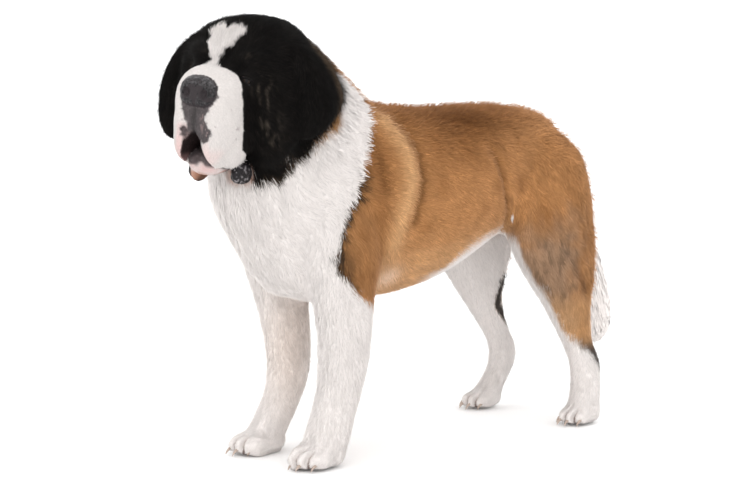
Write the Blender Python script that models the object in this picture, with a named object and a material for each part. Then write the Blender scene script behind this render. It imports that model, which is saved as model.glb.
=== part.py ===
# A standing adult Saint Bernard at life size, shaped as clay forms that are fused, softened and parted into
# nodes.
# It looks along -Y with its left side at +X. Sizes are metres, and every surface is the outside of the coat.
import math
import random

import bmesh
import bpy
import numpy as np
from mathutils import Matrix, Vector

# Driving sizes
GAP = 0.0003
BODY_VOXEL = 0.0075
HEAD_VOXEL = 0.0038
PAW_VOXEL = 0.0042
BODY_FACES = 2850
HEAD_FACES = 3000
PAW_FACES = 460
EAR_FACES = 520
AROUND = 28
STEPS = 5

# The head: its centre, the way it looks, the tilt of the face to the dog's right, and the eyes
HEAD_AT = Vector((0.060, -0.543, 0.770))
HEAD_TURN = math.radians(24)
FACE_TILT = math.radians(9)
EYE_RADIUS = 0.0135
EYE_AT = (0.082, 0.055, 0.038)

# Height of the floor, heights where each leg is parted, and where each paw stands
FLOOR = -0.013
FRONT_CUTS = (0.165, 0.044)
HIND_CUTS = (0.295, 0.042)
PAWS = {
    "front_left": (0.103, -0.374),
    "front_right": (-0.103, -0.386),
    "hind_left": (0.151, 0.392),
    "hind_right": (-0.147, 0.357),
}

# Trunk, upright slices: place along the body, top, underside, half width
TRUNK = (
    (-0.50, 0.56, 0.50, 0.04),
    (-0.47, 0.62, 0.440, 0.09),
    (-0.42, 0.67, 0.368, 0.135),
    (-0.34, 0.72, 0.330, 0.160),
    (-0.24, 0.763, 0.318, 0.176),
    (-0.12, 0.757, 0.325, 0.185),
    (0.00, 0.751, 0.350, 0.184),
    (0.10, 0.756, 0.392, 0.172),
    (0.20, 0.758, 0.440, 0.158),
    (0.30, 0.752, 0.475, 0.145),
    (0.37, 0.735, 0.490, 0.119),
    (0.41, 0.690, 0.520, 0.078),
    (0.43, 0.625, 0.560, 0.035),
)

# Neck and breast, level slices: height, front, back, half width, sideways shift
NECK = (
    (0.345, -0.405, -0.230, 0.075, 0.0),
    (0.390, -0.448, -0.190, 0.112, 0.0),
    (0.450, -0.494, -0.150, 0.142, 0.0),
    (0.520, -0.542, -0.120, 0.156, 0.002),
    (0.585, -0.565, -0.110, 0.157, 0.006),
    (0.650, -0.568, -0.120, 0.152, 0.010),
    (0.720, -0.560, -0.160, 0.142, 0.014),
    (0.775, -0.552, -0.212, 0.128, 0.018),
    (0.815, -0.546, -0.262, 0.112, 0.020),
    (0.850, -0.525, -0.308, 0.095, 0.022),
    (0.888, -0.505, -0.355, 0.066, 0.024),
)

# Front leg, level slices: height, sideways place, middle, half width, reach forward, reach back
FRONT_LEG = (
    (0.560, 0.105, -0.335, 0.045, 0.060, 0.060),
    (0.500, 0.118, -0.330, 0.064, 0.088, 0.095),
    (0.420, 0.121, -0.323, 0.068, 0.086, 0.090),
    (0.350, 0.115, -0.316, 0.064, 0.076, 0.071),
    (0.290, 0.110, -0.309, 0.060, 0.067, 0.066),
    (0.220, 0.106, -0.310, 0.056, 0.061, 0.062),
    (0.150, 0.104, -0.320, 0.050, 0.056, 0.056),
    (0.095, 0.103, -0.338, 0.049, 0.054, 0.053),
    (0.050, 0.103, -0.352, 0.050, 0.055, 0.052),
    (0.025, 0.103, -0.360, 0.042, 0.042, 0.045),
)

# Hind leg, as the front leg
HIND_LEG = (
    (0.690, 0.075, 0.325, 0.050, 0.060, 0.050),
    (0.640, 0.098, 0.328, 0.078, 0.105, 0.082),
    (0.560, 0.114, 0.322, 0.083, 0.134, 0.106),
    (0.470, 0.127, 0.318, 0.078, 0.146, 0.117),
    (0.400, 0.136, 0.322, 0.072, 0.136, 0.112),
    (0.334, 0.143, 0.334, 0.062, 0.106, 0.092),
    (0.272, 0.147, 0.354, 0.051, 0.076, 0.059),
    (0.205, 0.150, 0.374, 0.040, 0.053, 0.046),
    (0.150, 0.151, 0.401, 0.038, 0.046, 0.049),
    (0.095, 0.151, 0.410, 0.039, 0.044, 0.047),
    (0.045, 0.151, 0.406, 0.041, 0.048, 0.046),
    (0.025, 0.151, 0.402, 0.036, 0.040, 0.036),
)

# Toes: place across, reach ahead and size, and a claw's slices: reach back, height and girth
TOES = ((-1.42, 0.020, 0.94), (-0.5, 0.041, 1.0), (0.5, 0.041, 1.0), (1.42, 0.020, 0.94))
CLAW = ((0.011, 0.0165, 0.0032), (0.002, 0.0145, 0.0036), (-0.004, 0.0090, 0.0026), (-0.007, 0.0042, 0.0009))

# How much each leg's girth differs from the left one in front and behind, and how far its hock is set back
GIRTH = {"front_left": 1.0, "front_right": 0.90, "hind_left": 1.0, "hind_right": 0.96}
HOCK_BACK = {"front_left": 0.0, "front_right": 0.016, "hind_left": 0.0, "hind_right": 0.028}

# Where the neck starts, in body terms, and where the head starts, in head terms: a spot and the way forward
NECK_CUT = ((0, -0.360, 0.660), (0, -0.74, 0.67))
HEAD_CUT = ((-0.070, 0, -0.0125), (0.836, 0, 0.548))

# Tail, level slices: height, sideways place, middle, half width, half depth
TAIL = (
    (0.660, 0.000, 0.382, 0.034, 0.032),
    (0.620, 0.000, 0.416, 0.046, 0.040),
    (0.560, 0.001, 0.453, 0.057, 0.047),
    (0.480, 0.003, 0.490, 0.065, 0.053),
    (0.380, 0.006, 0.529, 0.069, 0.057),
    (0.290, 0.008, 0.566, 0.067, 0.057),
    (0.220, 0.010, 0.588, 0.055, 0.048),
    (0.170, 0.012, 0.596, 0.035, 0.032),
    (0.145, 0.012, 0.594, 0.012, 0.012),
)

# Tail hair: tiers of locks, locks in a tier, heights of the first and last tier, and a lock's length, width
# and thickness
TAIL_TIERS = 5
TIER_LOCKS = 5
TIER_HEIGHTS = (0.300, 0.590)
LOCK_LENGTH = 0.178
LOCK_WIDTH = 0.062
LOCK_THICKNESS = 0.014
TAIL_SEED = 11

# A lock's slices: share of its length, share of the tail's reach, share of its width
LOCK = ((0.0, 0.40, 0.55), (0.30, 0.88, 1.0), (0.68, 1.0, 0.80), (1.0, 0.97, 0.08))

# Skull in head terms: forward place, middle, half width, reach up, reach down
SKULL = (
    (-0.170, 0.030, 0.050, 0.055, 0.070),
    (-0.140, 0.030, 0.098, 0.100, 0.110),
    (-0.095, 0.030, 0.123, 0.125, 0.130),
    (-0.050, 0.030, 0.130, 0.131, 0.140),
    (-0.005, 0.030, 0.129, 0.128, 0.140),
    (0.030, 0.028, 0.120, 0.112, 0.130),
    (0.055, 0.022, 0.103, 0.086, 0.110),
    (0.074, 0.012, 0.080, 0.058, 0.080),
    (0.086, 0.000, 0.052, 0.030, 0.050),
)

# Muzzle in face terms: forward place, top, underside, half width
MUZZLE = (
    (0.020, 0.066, -0.060, 0.070),
    (0.070, 0.065, -0.075, 0.070),
    (0.110, 0.061, -0.078, 0.068),
    (0.141, 0.053, -0.074, 0.063),
    (0.156, 0.040, -0.066, 0.052),
    (0.164, 0.022, -0.056, 0.036),
)

# Lower jaw in face terms: forward place, top, underside, half width
JAW = (
    (0.010, -0.095, -0.136, 0.030),
    (0.050, -0.100, -0.150, 0.040),
    (0.085, -0.104, -0.157, 0.040),
    (0.108, -0.110, -0.159, 0.035),
    (0.124, -0.120, -0.151, 0.024),
)

# Hanging lobes of the lower lip on each side, in face terms: middle and radii
LOBES = (((0.056, 0.058, -0.150), (0.034, 0.015, 0.025)), ((0.062, -0.036, -0.154), (0.034, 0.016, 0.027)))

# Nose in face terms: forward place, top, underside, half width
NOSE = (
    (0.134, 0.020, -0.014, 0.022),
    (0.148, 0.034, -0.022, 0.035),
    (0.160, 0.037, -0.025, 0.040),
    (0.171, 0.032, -0.022, 0.037),
    (0.177, 0.022, -0.015, 0.026),
)

# Ear flap in head terms: front edge, back edge, outward lean of the flap, belly of the flap, thickness
EAR = (
    ((0.002, 0.074, 0.106), (-0.090, 0.072, 0.098), (0.0, 0.55, 0.84), 0.004, 0.012),
    ((0.014, 0.104, 0.108), (-0.118, 0.108, 0.096), (0.0, 0.80, 0.60), 0.016, 0.018),
    ((0.022, 0.120, 0.074), (-0.142, 0.138, 0.060), (0.0, 0.98, 0.20), 0.028, 0.016),
    ((0.024, 0.125, 0.024), (-0.158, 0.152, 0.014), (0.0, 1.00, 0.04), 0.044, 0.014),
    ((0.020, 0.127, -0.028), (-0.154, 0.158, -0.020), (0.0, 1.00, -0.05), 0.048, 0.013),
    ((0.014, 0.128, -0.066), (-0.094, 0.156, -0.060), (0.0, 1.00, -0.10), 0.036, 0.012),
    ((0.004, 0.128, -0.096), (-0.042, 0.138, -0.090), (0.0, 1.00, -0.10), 0.012, 0.010),
)

RIGHT_EAR = ((0.022, -0.010, 0.002), (0.026, 0.010, 0.002), 0.022)

X, Y, Z = Vector((1, 0, 0)), Vector((0, 1, 0)), Vector((0, 0, 1))


def head_frame():
    """Axes of the head: x forward, y to the dog's left, z up."""
    forward = Vector((math.sin(HEAD_TURN), -math.cos(HEAD_TURN), 0))
    left = Vector((math.cos(HEAD_TURN), math.sin(HEAD_TURN), 0))
    return Matrix.Translation(HEAD_AT) @ Matrix((forward, left, Z)).transposed().to_4x4()


HEAD = head_frame()
FACE = HEAD @ Matrix.Rotation(-FACE_TILT, 4, "X")


def clear_scene():
    for thing in list(bpy.data.objects):
        bpy.data.objects.remove(thing, do_unlink=True)


def linked(name, mesh):
    thing = bpy.data.objects.new(name, mesh)
    bpy.context.scene.collection.objects.link(thing)
    return thing


def copied(thing, name):
    return linked(name, thing.data.copy())


def remove(*things):
    for thing in things:
        bpy.data.objects.remove(thing, do_unlink=True)


def rounded(rows, steps=STEPS):
    """Rows of a table read from a smooth curve through them."""
    rows = np.array(rows, float)
    before = np.vstack([2 * rows[0] - rows[1], rows[:-1]])
    after = np.vstack([rows[1:], 2 * rows[-1] - rows[-2]])
    lean = (after - before) / 2
    out = []
    for i in range(len(rows) - 1):
        for k in range(steps):
            t = k / steps
            here = (2 * t**3 - 3 * t**2 + 1) * rows[i] + (t**3 - 2 * t**2 + t) * lean[i]
            out.append(here + (-2 * t**3 + 3 * t**2) * rows[i + 1] + (t**3 - t**2) * lean[i + 1])
    out.append(rows[-1])
    return out


def ring(middle, side, up, half, above, below, power=2.2, around=AROUND):
    """Points of a rounded section about a middle, with its own reach above and below."""
    points = []
    for k in range(around):
        c, s = math.cos(2 * math.pi * k / around), math.sin(2 * math.pi * k / around)
        across = math.copysign(abs(c) ** (2 / power), c) * half
        rise = math.copysign(abs(s) ** (2 / power), s) * (above if s > 0 else below)
        points.append(Vector(middle) + side * across + up * rise)
    return points


def loft(name, rings):
    """A closed tube through rings of equal count."""
    mesh = bpy.data.meshes.new(name)
    n = len(rings[0])
    faces = [tuple(range(n)), tuple((len(rings) - 1) * n + k for k in range(n))]
    for i in range(len(rings) - 1):
        for k in range(n):
            m = (k + 1) % n
            faces.append((i * n + k, i * n + m, (i + 1) * n + m, (i + 1) * n + k))
    mesh.from_pydata([tuple(p) for r in rings for p in r], [], faces)
    return linked(name, outward(mesh))


def outward(mesh):
    work = bmesh.new()
    work.from_mesh(mesh)
    bmesh.ops.recalc_face_normals(work, faces=work.faces)
    work.to_mesh(mesh)
    work.free()
    return mesh


def ball(middle, radii, frame=None, rings=14, name="ball"):
    """An ellipsoid with its radii along the axes of a frame."""
    mesh = bpy.data.meshes.new(name)
    work = bmesh.new()
    bmesh.ops.create_uvsphere(work, u_segments=2 * rings, v_segments=rings, radius=1)
    bmesh.ops.scale(work, vec=radii, verts=work.verts)
    place = Matrix.Translation(middle)
    bmesh.ops.transform(work, matrix=frame @ place if frame else place, verts=work.verts)
    work.to_mesh(mesh)
    work.free()
    return linked(name, mesh)


def lying(name, table, frame, power, around=AROUND, steps=STEPS):
    """A tube along the head's own forward axis, from rows of place, top, underside and half width."""
    rings = []
    for f, top, low, half in rounded(table, steps):
        middle = (top + low) / 2
        section = ring((f, 0, middle), Y, Z, half, top - middle, middle - low, power, around)
        rings.append([frame @ p for p in section])
    return loft(name, rings)


def trunk_form():
    rings = []
    for y, top, low, half in rounded(TRUNK):
        middle = low + 0.50 * (top - low)
        rings.append(ring((0, y, middle), X, Z, half, top - middle, middle - low, 2.2))
    return loft("trunk", rings)


def neck_form():
    rings = []
    for z, front, back, half, shift in rounded(NECK):
        middle = front + 0.45 * (back - front)
        rings.append(ring((shift, middle, z), X, -Y, half, middle - front, back - middle, 2.1))
    return loft("neck", rings)


def leg_form(which):
    """One leg, from inside the trunk down to the paw, leaning to where its paw stands."""
    front = which.startswith("front")
    side = 1 if which.endswith("left") else -1
    table, home = (FRONT_LEG, PAWS["front_left"]) if front else (HIND_LEG, PAWS["hind_left"])
    lean_x, lean_y = side * PAWS[which][0] - home[0], PAWS[which][1] - home[1]
    rings = []
    for z, x, y, half, fore, back in rounded(table):
        z += FLOOR * (1 - min(1.0, z / 0.35))
        low = 1 - min(1.0, max(0.0, (z - 0.02) / 0.07))
        size = 1 + (GIRTH[which] - 1) * (1 - min(1.0, max(0.0, (z - 0.28) / 0.15)))
        y += lean_y * low + HOCK_BACK[which] * math.exp(-(((z - 0.15) / 0.09) ** 2))
        spot = (side * (x + lean_x * low), y, z)
        rings.append(ring(spot, X, -Y, half * size, fore * size, back * size, 2.15))
    return loft("leg", rings)


def tail_at(height, rows):
    """Sideways place, middle, half width and half depth of the tail at a height."""
    heights = [row[0] for row in rows][::-1]
    return [float(np.interp(height, heights, [row[k] for row in rows][::-1])) for k in range(1, 5)]


def tail_lock(rows, top, turn, length):
    """One flat, tapering lock that leaves the tail's core and hangs down to its outer hair."""
    rings = []
    for share, out, wide in LOCK:
        height = max(top - length * share, TAIL[-1][0] + 0.004 * (1 - share))
        x, y, half, deep = tail_at(height, rows)
        reach = max(0.012, (half + deep) / 2)
        spread = min(0.75, LOCK_WIDTH * wide / 2 / reach)
        section = []
        for angle, share_out in ((turn - spread, 0.93), (turn, 1.0), (turn + spread, 0.93), (turn, 0.0)):
            inner = max(0.2, out - LOCK_THICKNESS * (0.4 + 0.6 * wide) / reach)
            far = out * share_out if share_out else inner
            spot = (x + math.cos(angle) * half * far, y + math.sin(angle) * deep * far, height)
            section.append(Vector(spot))
        rings.append(section)
    return loft("lock", rings)


def tail_form():
    """The tail: a core half as thick as the hair reaches, and tiers of long locks from the tip up."""
    rows = rounded(TAIL, 3)
    first = rows[0][0]
    core = []
    for z, x, y, half, deep in rows:
        share = 0.5 + 0.45 * max(0.0, 1 - (first - z) / 0.09)
        core.append(ring((x, y, z), X, -Y, half * share, deep * share, deep * share, 2.0, 10))
    tail = loft("tail", core)
    draw = random.Random(TAIL_SEED)
    locks = []
    for tier in range(TAIL_TIERS):
        low, high = TIER_HEIGHTS
        top = low + (high - low) * tier / (TAIL_TIERS - 1)
        for k in range(TIER_LOCKS):
            turn = 2 * math.pi * (k + 0.5 * (tier % 2)) / TIER_LOCKS + draw.uniform(-0.12, 0.12)
            start = top + draw.uniform(-0.015, 0.015)
            locks.append(tail_lock(rows, start, turn, LOCK_LENGTH * draw.uniform(0.85, 1.15)))
    return joined(tail, locks)


def skull_forms():
    """Skull, brows, cheeks and jowls."""
    rings = []
    for f, middle, half, above, below in rounded(SKULL):
        rings.append([HEAD @ p for p in ring((f, 0, middle), Y, Z, half, above, below, 2.45)])
    forms = [loft("skull", rings)]
    for side in (1, -1):
        forms += [
            ball((0.044, side * 0.050, 0.072), (0.042, 0.042, 0.032), FACE),
            ball((0.012, side * 0.076, -0.025), (0.072, 0.056, 0.085), HEAD),
            ball((-0.018, side * 0.066, -0.088), (0.070, 0.056, 0.068), HEAD),
            ball((EYE_AT[0] - 0.002, side * EYE_AT[1], EYE_AT[2]), (EYE_RADIUS + 0.005,) * 3, FACE),
        ]
    return forms


def muzzle_forms():
    """The box of the muzzle and the hanging flews on each side."""
    forms = [lying("muzzle", MUZZLE, FACE, 2.3)]
    for side in (1, -1):
        narrower = 0.006 if side < 0 else 0.0
        forms += [
            ball((0.117, side * (0.036 - narrower), -0.050), (0.056, 0.036 - narrower, 0.073), FACE),
            ball((0.114, side * 0.030, -0.085), (0.054, 0.028, 0.056), FACE),
            ball((0.082, side * 0.044, -0.078), (0.050, 0.030, 0.062), FACE),
        ]
    forms.append(ball((0.122, 0, -0.044), (0.052, 0.036, 0.060), FACE))
    return forms


def fused(name, forms, voxel, passes):
    """Forms fused into one closed clay surface and softened."""
    joined = bmesh.new()
    for form in forms:
        joined.from_mesh(form.data)
    mesh = bpy.data.meshes.new(name)
    joined.to_mesh(mesh)
    joined.free()
    remove(*forms)
    thing = linked(name, mesh)
    remesh = thing.modifiers.new("fuse", "REMESH")
    remesh.mode = "VOXEL"
    remesh.voxel_size = voxel
    applied(thing)
    soften(thing, passes)
    return thing


def applied(thing):
    """The object's modifiers made part of its mesh."""
    bpy.context.view_layer.update()
    graph = bpy.context.evaluated_depsgraph_get()
    mesh = bpy.data.meshes.new_from_object(thing.evaluated_get(graph))
    old = thing.data
    thing.modifiers.clear()
    thing.data = mesh
    bpy.data.meshes.remove(old)
    return thing


def points_of(thing):
    flat = np.empty(len(thing.data.vertices) * 3)
    thing.data.vertices.foreach_get("co", flat)
    return flat.reshape(-1, 3)


def move_points(thing, points):
    thing.data.vertices.foreach_set("co", points.astype(np.float32).ravel())
    thing.data.update()


def soften(thing, passes, weight=0.5):
    """Each point drawn towards the mean of its neighbours."""
    points = points_of(thing)
    ends = np.empty(len(thing.data.edges) * 2, np.int32)
    thing.data.edges.foreach_get("vertices", ends)
    a, b = ends.reshape(-1, 2).T
    count = np.bincount(a, minlength=len(points)) + np.bincount(b, minlength=len(points))
    for _ in range(passes):
        total = np.empty_like(points)
        for k in range(3):
            total[:, k] = np.bincount(a, points[b, k], len(points))
            total[:, k] += np.bincount(b, points[a, k], len(points))
        points += weight * (total / count[:, None] - points)
    move_points(thing, points)


def pushed(thing, frame, brushes):
    """Soft brushes on the clay: place, reach along each axis, and push, all in the terms of a frame."""
    points = points_of(thing)
    turn = np.array(frame.to_3x3())
    inner = (points - np.array(frame.translation)) @ turn
    for place, reach, push in brushes:
        far = (((inner - np.array(place)) / np.array(reach)) ** 2).sum(1)
        inner = inner + np.exp(-far)[:, None] * np.array(push)
    move_points(thing, inner @ turn.T + np.array(frame.translation))


def thinned(thing, faces):
    now = sum(len(p.vertices) - 2 for p in thing.data.polygons)
    fewer = thing.modifiers.new("fewer", "DECIMATE")
    fewer.ratio = min(1.0, faces / now)
    return applied(thing)


def sliced(thing, at, towards, gap=GAP / 2):
    """The part of a solid on the side of a plane that a direction points to, its cut closed flat."""
    towards = Vector(towards).normalized()
    work = bmesh.new()
    work.from_mesh(thing.data)
    everything = work.verts[:] + work.edges[:] + work.faces[:]
    cut = bmesh.ops.bisect_plane(
        work,
        geom=everything,
        dist=1e-6,
        plane_co=Vector(at) + towards * gap,
        plane_no=towards,
        clear_inner=True,
    )
    rim = [e for e in cut["geom_cut"] if isinstance(e, bmesh.types.BMEdge)]
    bmesh.ops.triangle_fill(work, edges=rim, use_beauty=True, use_dissolve=False, normal=-towards)
    bmesh.ops.recalc_face_normals(work, faces=work.faces)
    work.to_mesh(thing.data)
    work.free()
    return thing


def combined(thing, tools, way):
    """A solid cut by, joined with or kept inside other solids."""
    for tool in tools:
        tool.hide_render = True
        tool.display_type = "WIRE"
        step = thing.modifiers.new("shape", "BOOLEAN")
        step.operation = way
        step.solver = "EXACT"
        step.object = tool
        applied(thing)
    return thing


def joined(thing, pieces):
    """Pieces fused to a solid in one union, all of them in triangles first."""
    group = bpy.data.collections.new("pieces")
    for piece in pieces:
        in_triangles(piece)
        group.objects.link(piece)
    in_triangles(thing)
    step = thing.modifiers.new("join", "BOOLEAN")
    step.operation = "UNION"
    step.solver = "EXACT"
    step.operand_type = "COLLECTION"
    step.collection = group
    applied(thing)
    remove(*pieces)
    bpy.data.collections.remove(group)
    return largest(thing)


def swollen(thing, by=GAP):
    """A copy of a solid grown all round."""
    copy = copied(thing, "swollen")
    work = bmesh.new()
    work.from_mesh(copy.data)
    work.normal_update()
    moves = [(v, v.normal * (by * min(1.6, v.calc_shell_factor()))) for v in work.verts]
    for v, move in moves:
        v.co += move
    work.to_mesh(copy.data)
    work.free()
    return copy


def seated(hosts, guests):
    """Room for each guest cut out of each host, with the small gap all round."""
    tools = [swollen(g) for g in guests]
    for host in hosts:
        combined(host, tools, "DIFFERENCE")
    remove(*tools)


def in_triangles(thing):
    work = bmesh.new()
    work.from_mesh(thing.data)
    bmesh.ops.triangulate(work, faces=work.faces)
    work.to_mesh(thing.data)
    work.free()


def cleaned(thing, reach):
    """The mesh in triangles, with points nearer than a reach made one."""
    work = bmesh.new()
    work.from_mesh(thing.data)
    bmesh.ops.remove_doubles(work, verts=work.verts, dist=reach)
    bmesh.ops.dissolve_degenerate(work, edges=work.edges, dist=reach)
    bmesh.ops.triangulate(work, faces=work.faces)
    return work


def largest(thing):
    """Only the biggest closed body of a mesh, cleaned of slivers as far as it stays closed."""
    for reach in (2e-6, 5e-7, 1e-7, 0.0):
        work = cleaned(thing, reach)
        if all(len(edge.link_faces) == 2 for edge in work.edges):
            break
        if reach:
            work.free()
    left = set(work.faces)
    bodies = []
    while left:
        stack = [left.pop()]
        body = []
        while stack:
            face = stack.pop()
            body.append(face)
            for edge in face.edges:
                for other in edge.link_faces:
                    if other in left:
                        left.remove(other)
                        stack.append(other)
        bodies.append(body)
    bodies.sort(key=len)
    for body in bodies[:-1]:
        bmesh.ops.delete(work, geom=body, context="FACES")
    loose = [v for v in work.verts if not v.link_faces]
    bmesh.ops.delete(work, geom=loose, context="VERTS")
    bmesh.ops.recalc_face_normals(work, faces=work.faces)
    work.to_mesh(thing.data)
    work.free()
    return thing


def painted(thing, name, colour, rough=0.8):
    """The object given its node's name and its own material."""
    thing.name = name
    thing.data.name = name
    material = bpy.data.materials.new(name)
    material.use_nodes = True
    shader = material.node_tree.nodes["Principled BSDF"]
    shader.inputs["Base Color"].default_value = (*colour, 1)
    shader.inputs["Roughness"].default_value = rough
    thing.data.materials.clear()
    thing.data.materials.append(material)
    return thing


def ear_form(side):
    """A hanging ear flap with a cupped inner face. The right one stands wider and further forward."""
    rings = []
    fore_shift, back_shift, wider = RIGHT_EAR if side < 0 else ((0, 0, 0), (0, 0, 0), 0.0)
    for k, (front, back, lean, belly, thick) in enumerate(EAR):
        belly += wider * min(1.0, k / 3)
        front, back = Vector(front) + Vector(fore_shift), Vector(back) + Vector(back_shift)
        lean = Vector(lean).normalized()
        outer, inner = [], []
        for k in range(9):
            s = k / 8
            early = s**0.55
            arch = 4 * early * (1 - early)
            spot = front.lerp(back, s) + lean * (belly * arch)
            full = thick * (0.35 + 0.65 * arch**0.5)
            outer.append(spot)
            if 0 < k < 8:
                inner.append(spot - lean * full)
        outer[0] = outer[0] - lean * 0.3 * thick
        outer[8] = outer[8] - lean * 0.3 * thick
        rings.append(outer + inner[::-1])
    turned = [[HEAD @ Vector((p.x, side * p.y, p.z)) for p in r] for r in rings]
    return thinned(soft_loft("ear", turned), EAR_FACES)


def soft_loft(name, rings):
    thing = loft(name, rings)
    finer = thing.modifiers.new("round", "SUBSURF")
    finer.levels = 1
    finer.render_levels = 1
    return largest(applied(thing))


def nose_form():
    nose = lying("nose", NOSE, FACE, 2.5, 16, 2)
    holes = []
    for side in (1, -1):
        holes.append(ball((0.177, side * 0.0195, 0.003), (0.010, 0.0088, 0.0105), FACE, 6))
        holes.append(ball((0.173, side * 0.0300, -0.006), (0.009, 0.0090, 0.0042), FACE, 5))
    holes.append(ball((0.1815, 0, -0.010), (0.010, 0.0024, 0.020), FACE, 5))
    for thing in [nose] + holes:
        in_triangles(thing)
    combined(nose, holes, "DIFFERENCE")
    remove(*holes)
    return largest(nose)


def jaw_form():
    forms = [lying("jaw", JAW, FACE, 2.3)]
    for middle, radii in LOBES:
        forms.append(ball(middle, radii, FACE))
    return thinned(fused("jaw", forms, 0.0035, 4), 420)


def mouth_cutter():
    """A wedge under the parting of the lips, its edge up at the end of the parting."""
    rings = []
    for f, wide in ((0.080, 0.034), (0.125, 0.033), (0.180, 0.029)):
        half = [(0.001, -0.066), (0.60 * wide, -0.096), (0.95 * wide, -0.125), (wide, -0.150)]
        section = [(-l, u) for l, u in half[::-1]] + half
        rings.append([FACE @ Vector((f, l, u)) for l, u in section])
    return loft("mouth", rings)


def lid_opening(side):
    """The almond opening between the lids of one eye, its lower lid sagging."""
    f, l, u = EYE_AT
    look = Vector((0.93, side * 0.36, 0.0)).normalized()
    across = Vector((-0.36, side * 0.93, -0.14)).normalized()
    up = Vector((0, 0, 1)) - look * look.z
    rings = []
    for reach, size in ((0.005, 0.85), (0.032, 1.30)):
        middle = Vector((f, side * l, u)) + look * reach
        section = []
        for k in range(12):
            c, s = math.cos(2 * math.pi * k / 12), math.sin(2 * math.pi * k / 12)
            tall = (0.0052 if s > 0 else 0.0072) * s
            section.append(FACE @ (middle + across * (0.0125 * size * c) + up * (tall * size)))
        rings.append(section)
    return loft("opening", rings)


def muzzle_room(grow=0.0):
    """The space of the muzzle in front of the face, its back leaning with the stop."""
    corners = (
        ((0.124, 0.066, 0.110), (0.050, 0.084, -0.170)),
        ((0.300, 0.140, 0.120), (0.300, 0.140, -0.220)),
    )
    rings = []
    for (f, half, high), (low_f, low_half, low) in corners:
        far = grow if f > 0.2 else -grow
        section = []
        for l, u, at in ((half, high, f), (-half, high, f), (-low_half, low, low_f), (low_half, low, low_f)):
            section.append(FACE @ Vector((at + far, l + math.copysign(grow, l), u + math.copysign(grow, u))))
        rings.append(section)
    return loft("room", rings)


def face_brushes():
    """Stop, furrow, sockets, lip parting and cheek folds pressed into the head clay."""
    brushes = [
        ((0.105, 0, 0.062), (0.018, 0.024, 0.020), (-0.006, 0, -0.006)),
        ((0.060, 0, 0.105), (0.040, 0.010, 0.050), (-0.004, 0, -0.003)),
        ((0.172, 0, -0.045), (0.020, 0.0045, 0.026), (-0.007, 0, 0)),
    ]
    for side in (1, -1):
        brushes += [
            ((0.096, side * 0.036, 0.046), (0.020, 0.016, 0.016), (-0.006, 0, 0)),
            ((0.076, side * 0.078, 0.000), (0.020, 0.010, 0.060), (-0.005, 0, 0)),
        ]
    return brushes


def paw_form(which):
    """One paw with four toes, a little of the leg, and its flat sole."""
    x, y = PAWS[which]
    size = 1.0 if which.startswith("front") else 0.90
    forms = [leg_form(which), ball((x, y + 0.010, FLOOR + 0.024), (0.051 * size, 0.058 * size, 0.035))]
    for place, ahead, small in TOES:
        toe = 0.0222 * size
        middle = (x + place * toe * 1.13, y - ahead * size, FLOOR + toe * 0.95)
        forms.append(ball(middle, (toe * 0.90 * small, toe * 1.45 * small, toe * 1.22 * small)))
    return thinned(fused("paw", forms, PAW_VOXEL, 3), PAW_FACES)


def claw_forms(which):
    """Four short claws, each a bent cone rooted in a toe and clear of the floor."""
    x, y = PAWS[which]
    size = 1.0 if which.startswith("front") else 0.90
    claws = []
    for place, ahead, small in TOES:
        toe = 0.0222 * size
        cx, front = x + place * toe * 1.13, y - ahead * size - toe * 1.24 * small
        rings = []
        for back, height, r in CLAW:
            rings.append(ring((cx, front + back, FLOOR + height), X, Z, r, r, r, 2.0, 5))
        claws.append(loft("claw", rings))
    return claws


def front_room(side, grow=0.0):
    """The space a front leg takes out of the trunk."""
    rings = []
    for z, x, y, half, deep in (
        (-0.05, 0.110, -0.350, 0.085, 0.130),
        (0.250, 0.118, -0.320, 0.080, 0.115),
        (0.340, 0.128, -0.318, 0.082, 0.118),
        (0.430, 0.142, -0.318, 0.080, 0.115),
        (0.500, 0.158, -0.318, 0.068, 0.096),
        (0.545, 0.170, -0.318, 0.050, 0.066),
        (0.568, 0.176, -0.318, 0.022, 0.030),
    ):
        rings.append(ring((side * x, y, z), X, Y, half + grow, deep + grow, deep + grow, 2.0, 24))
    return loft("room", rings)


def hind_room(side, grow=0.0):
    """The space a hind leg takes out of the trunk."""
    rings = []
    for z, x, y, half, deep in (
        (-0.05, 0.148, 0.380, 0.120, 0.150),
        (0.250, 0.146, 0.345, 0.115, 0.160),
        (0.400, 0.142, 0.320, 0.100, 0.175),
        (0.500, 0.146, 0.316, 0.092, 0.160),
        (0.580, 0.160, 0.316, 0.078, 0.128),
        (0.640, 0.176, 0.316, 0.058, 0.088),
        (0.665, 0.184, 0.316, 0.026, 0.040),
    ):
        rings.append(ring((side * x, y, z), X, Y, half + grow, deep + grow, deep + grow, 2.0, 24))
    return loft("room", rings)


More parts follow.
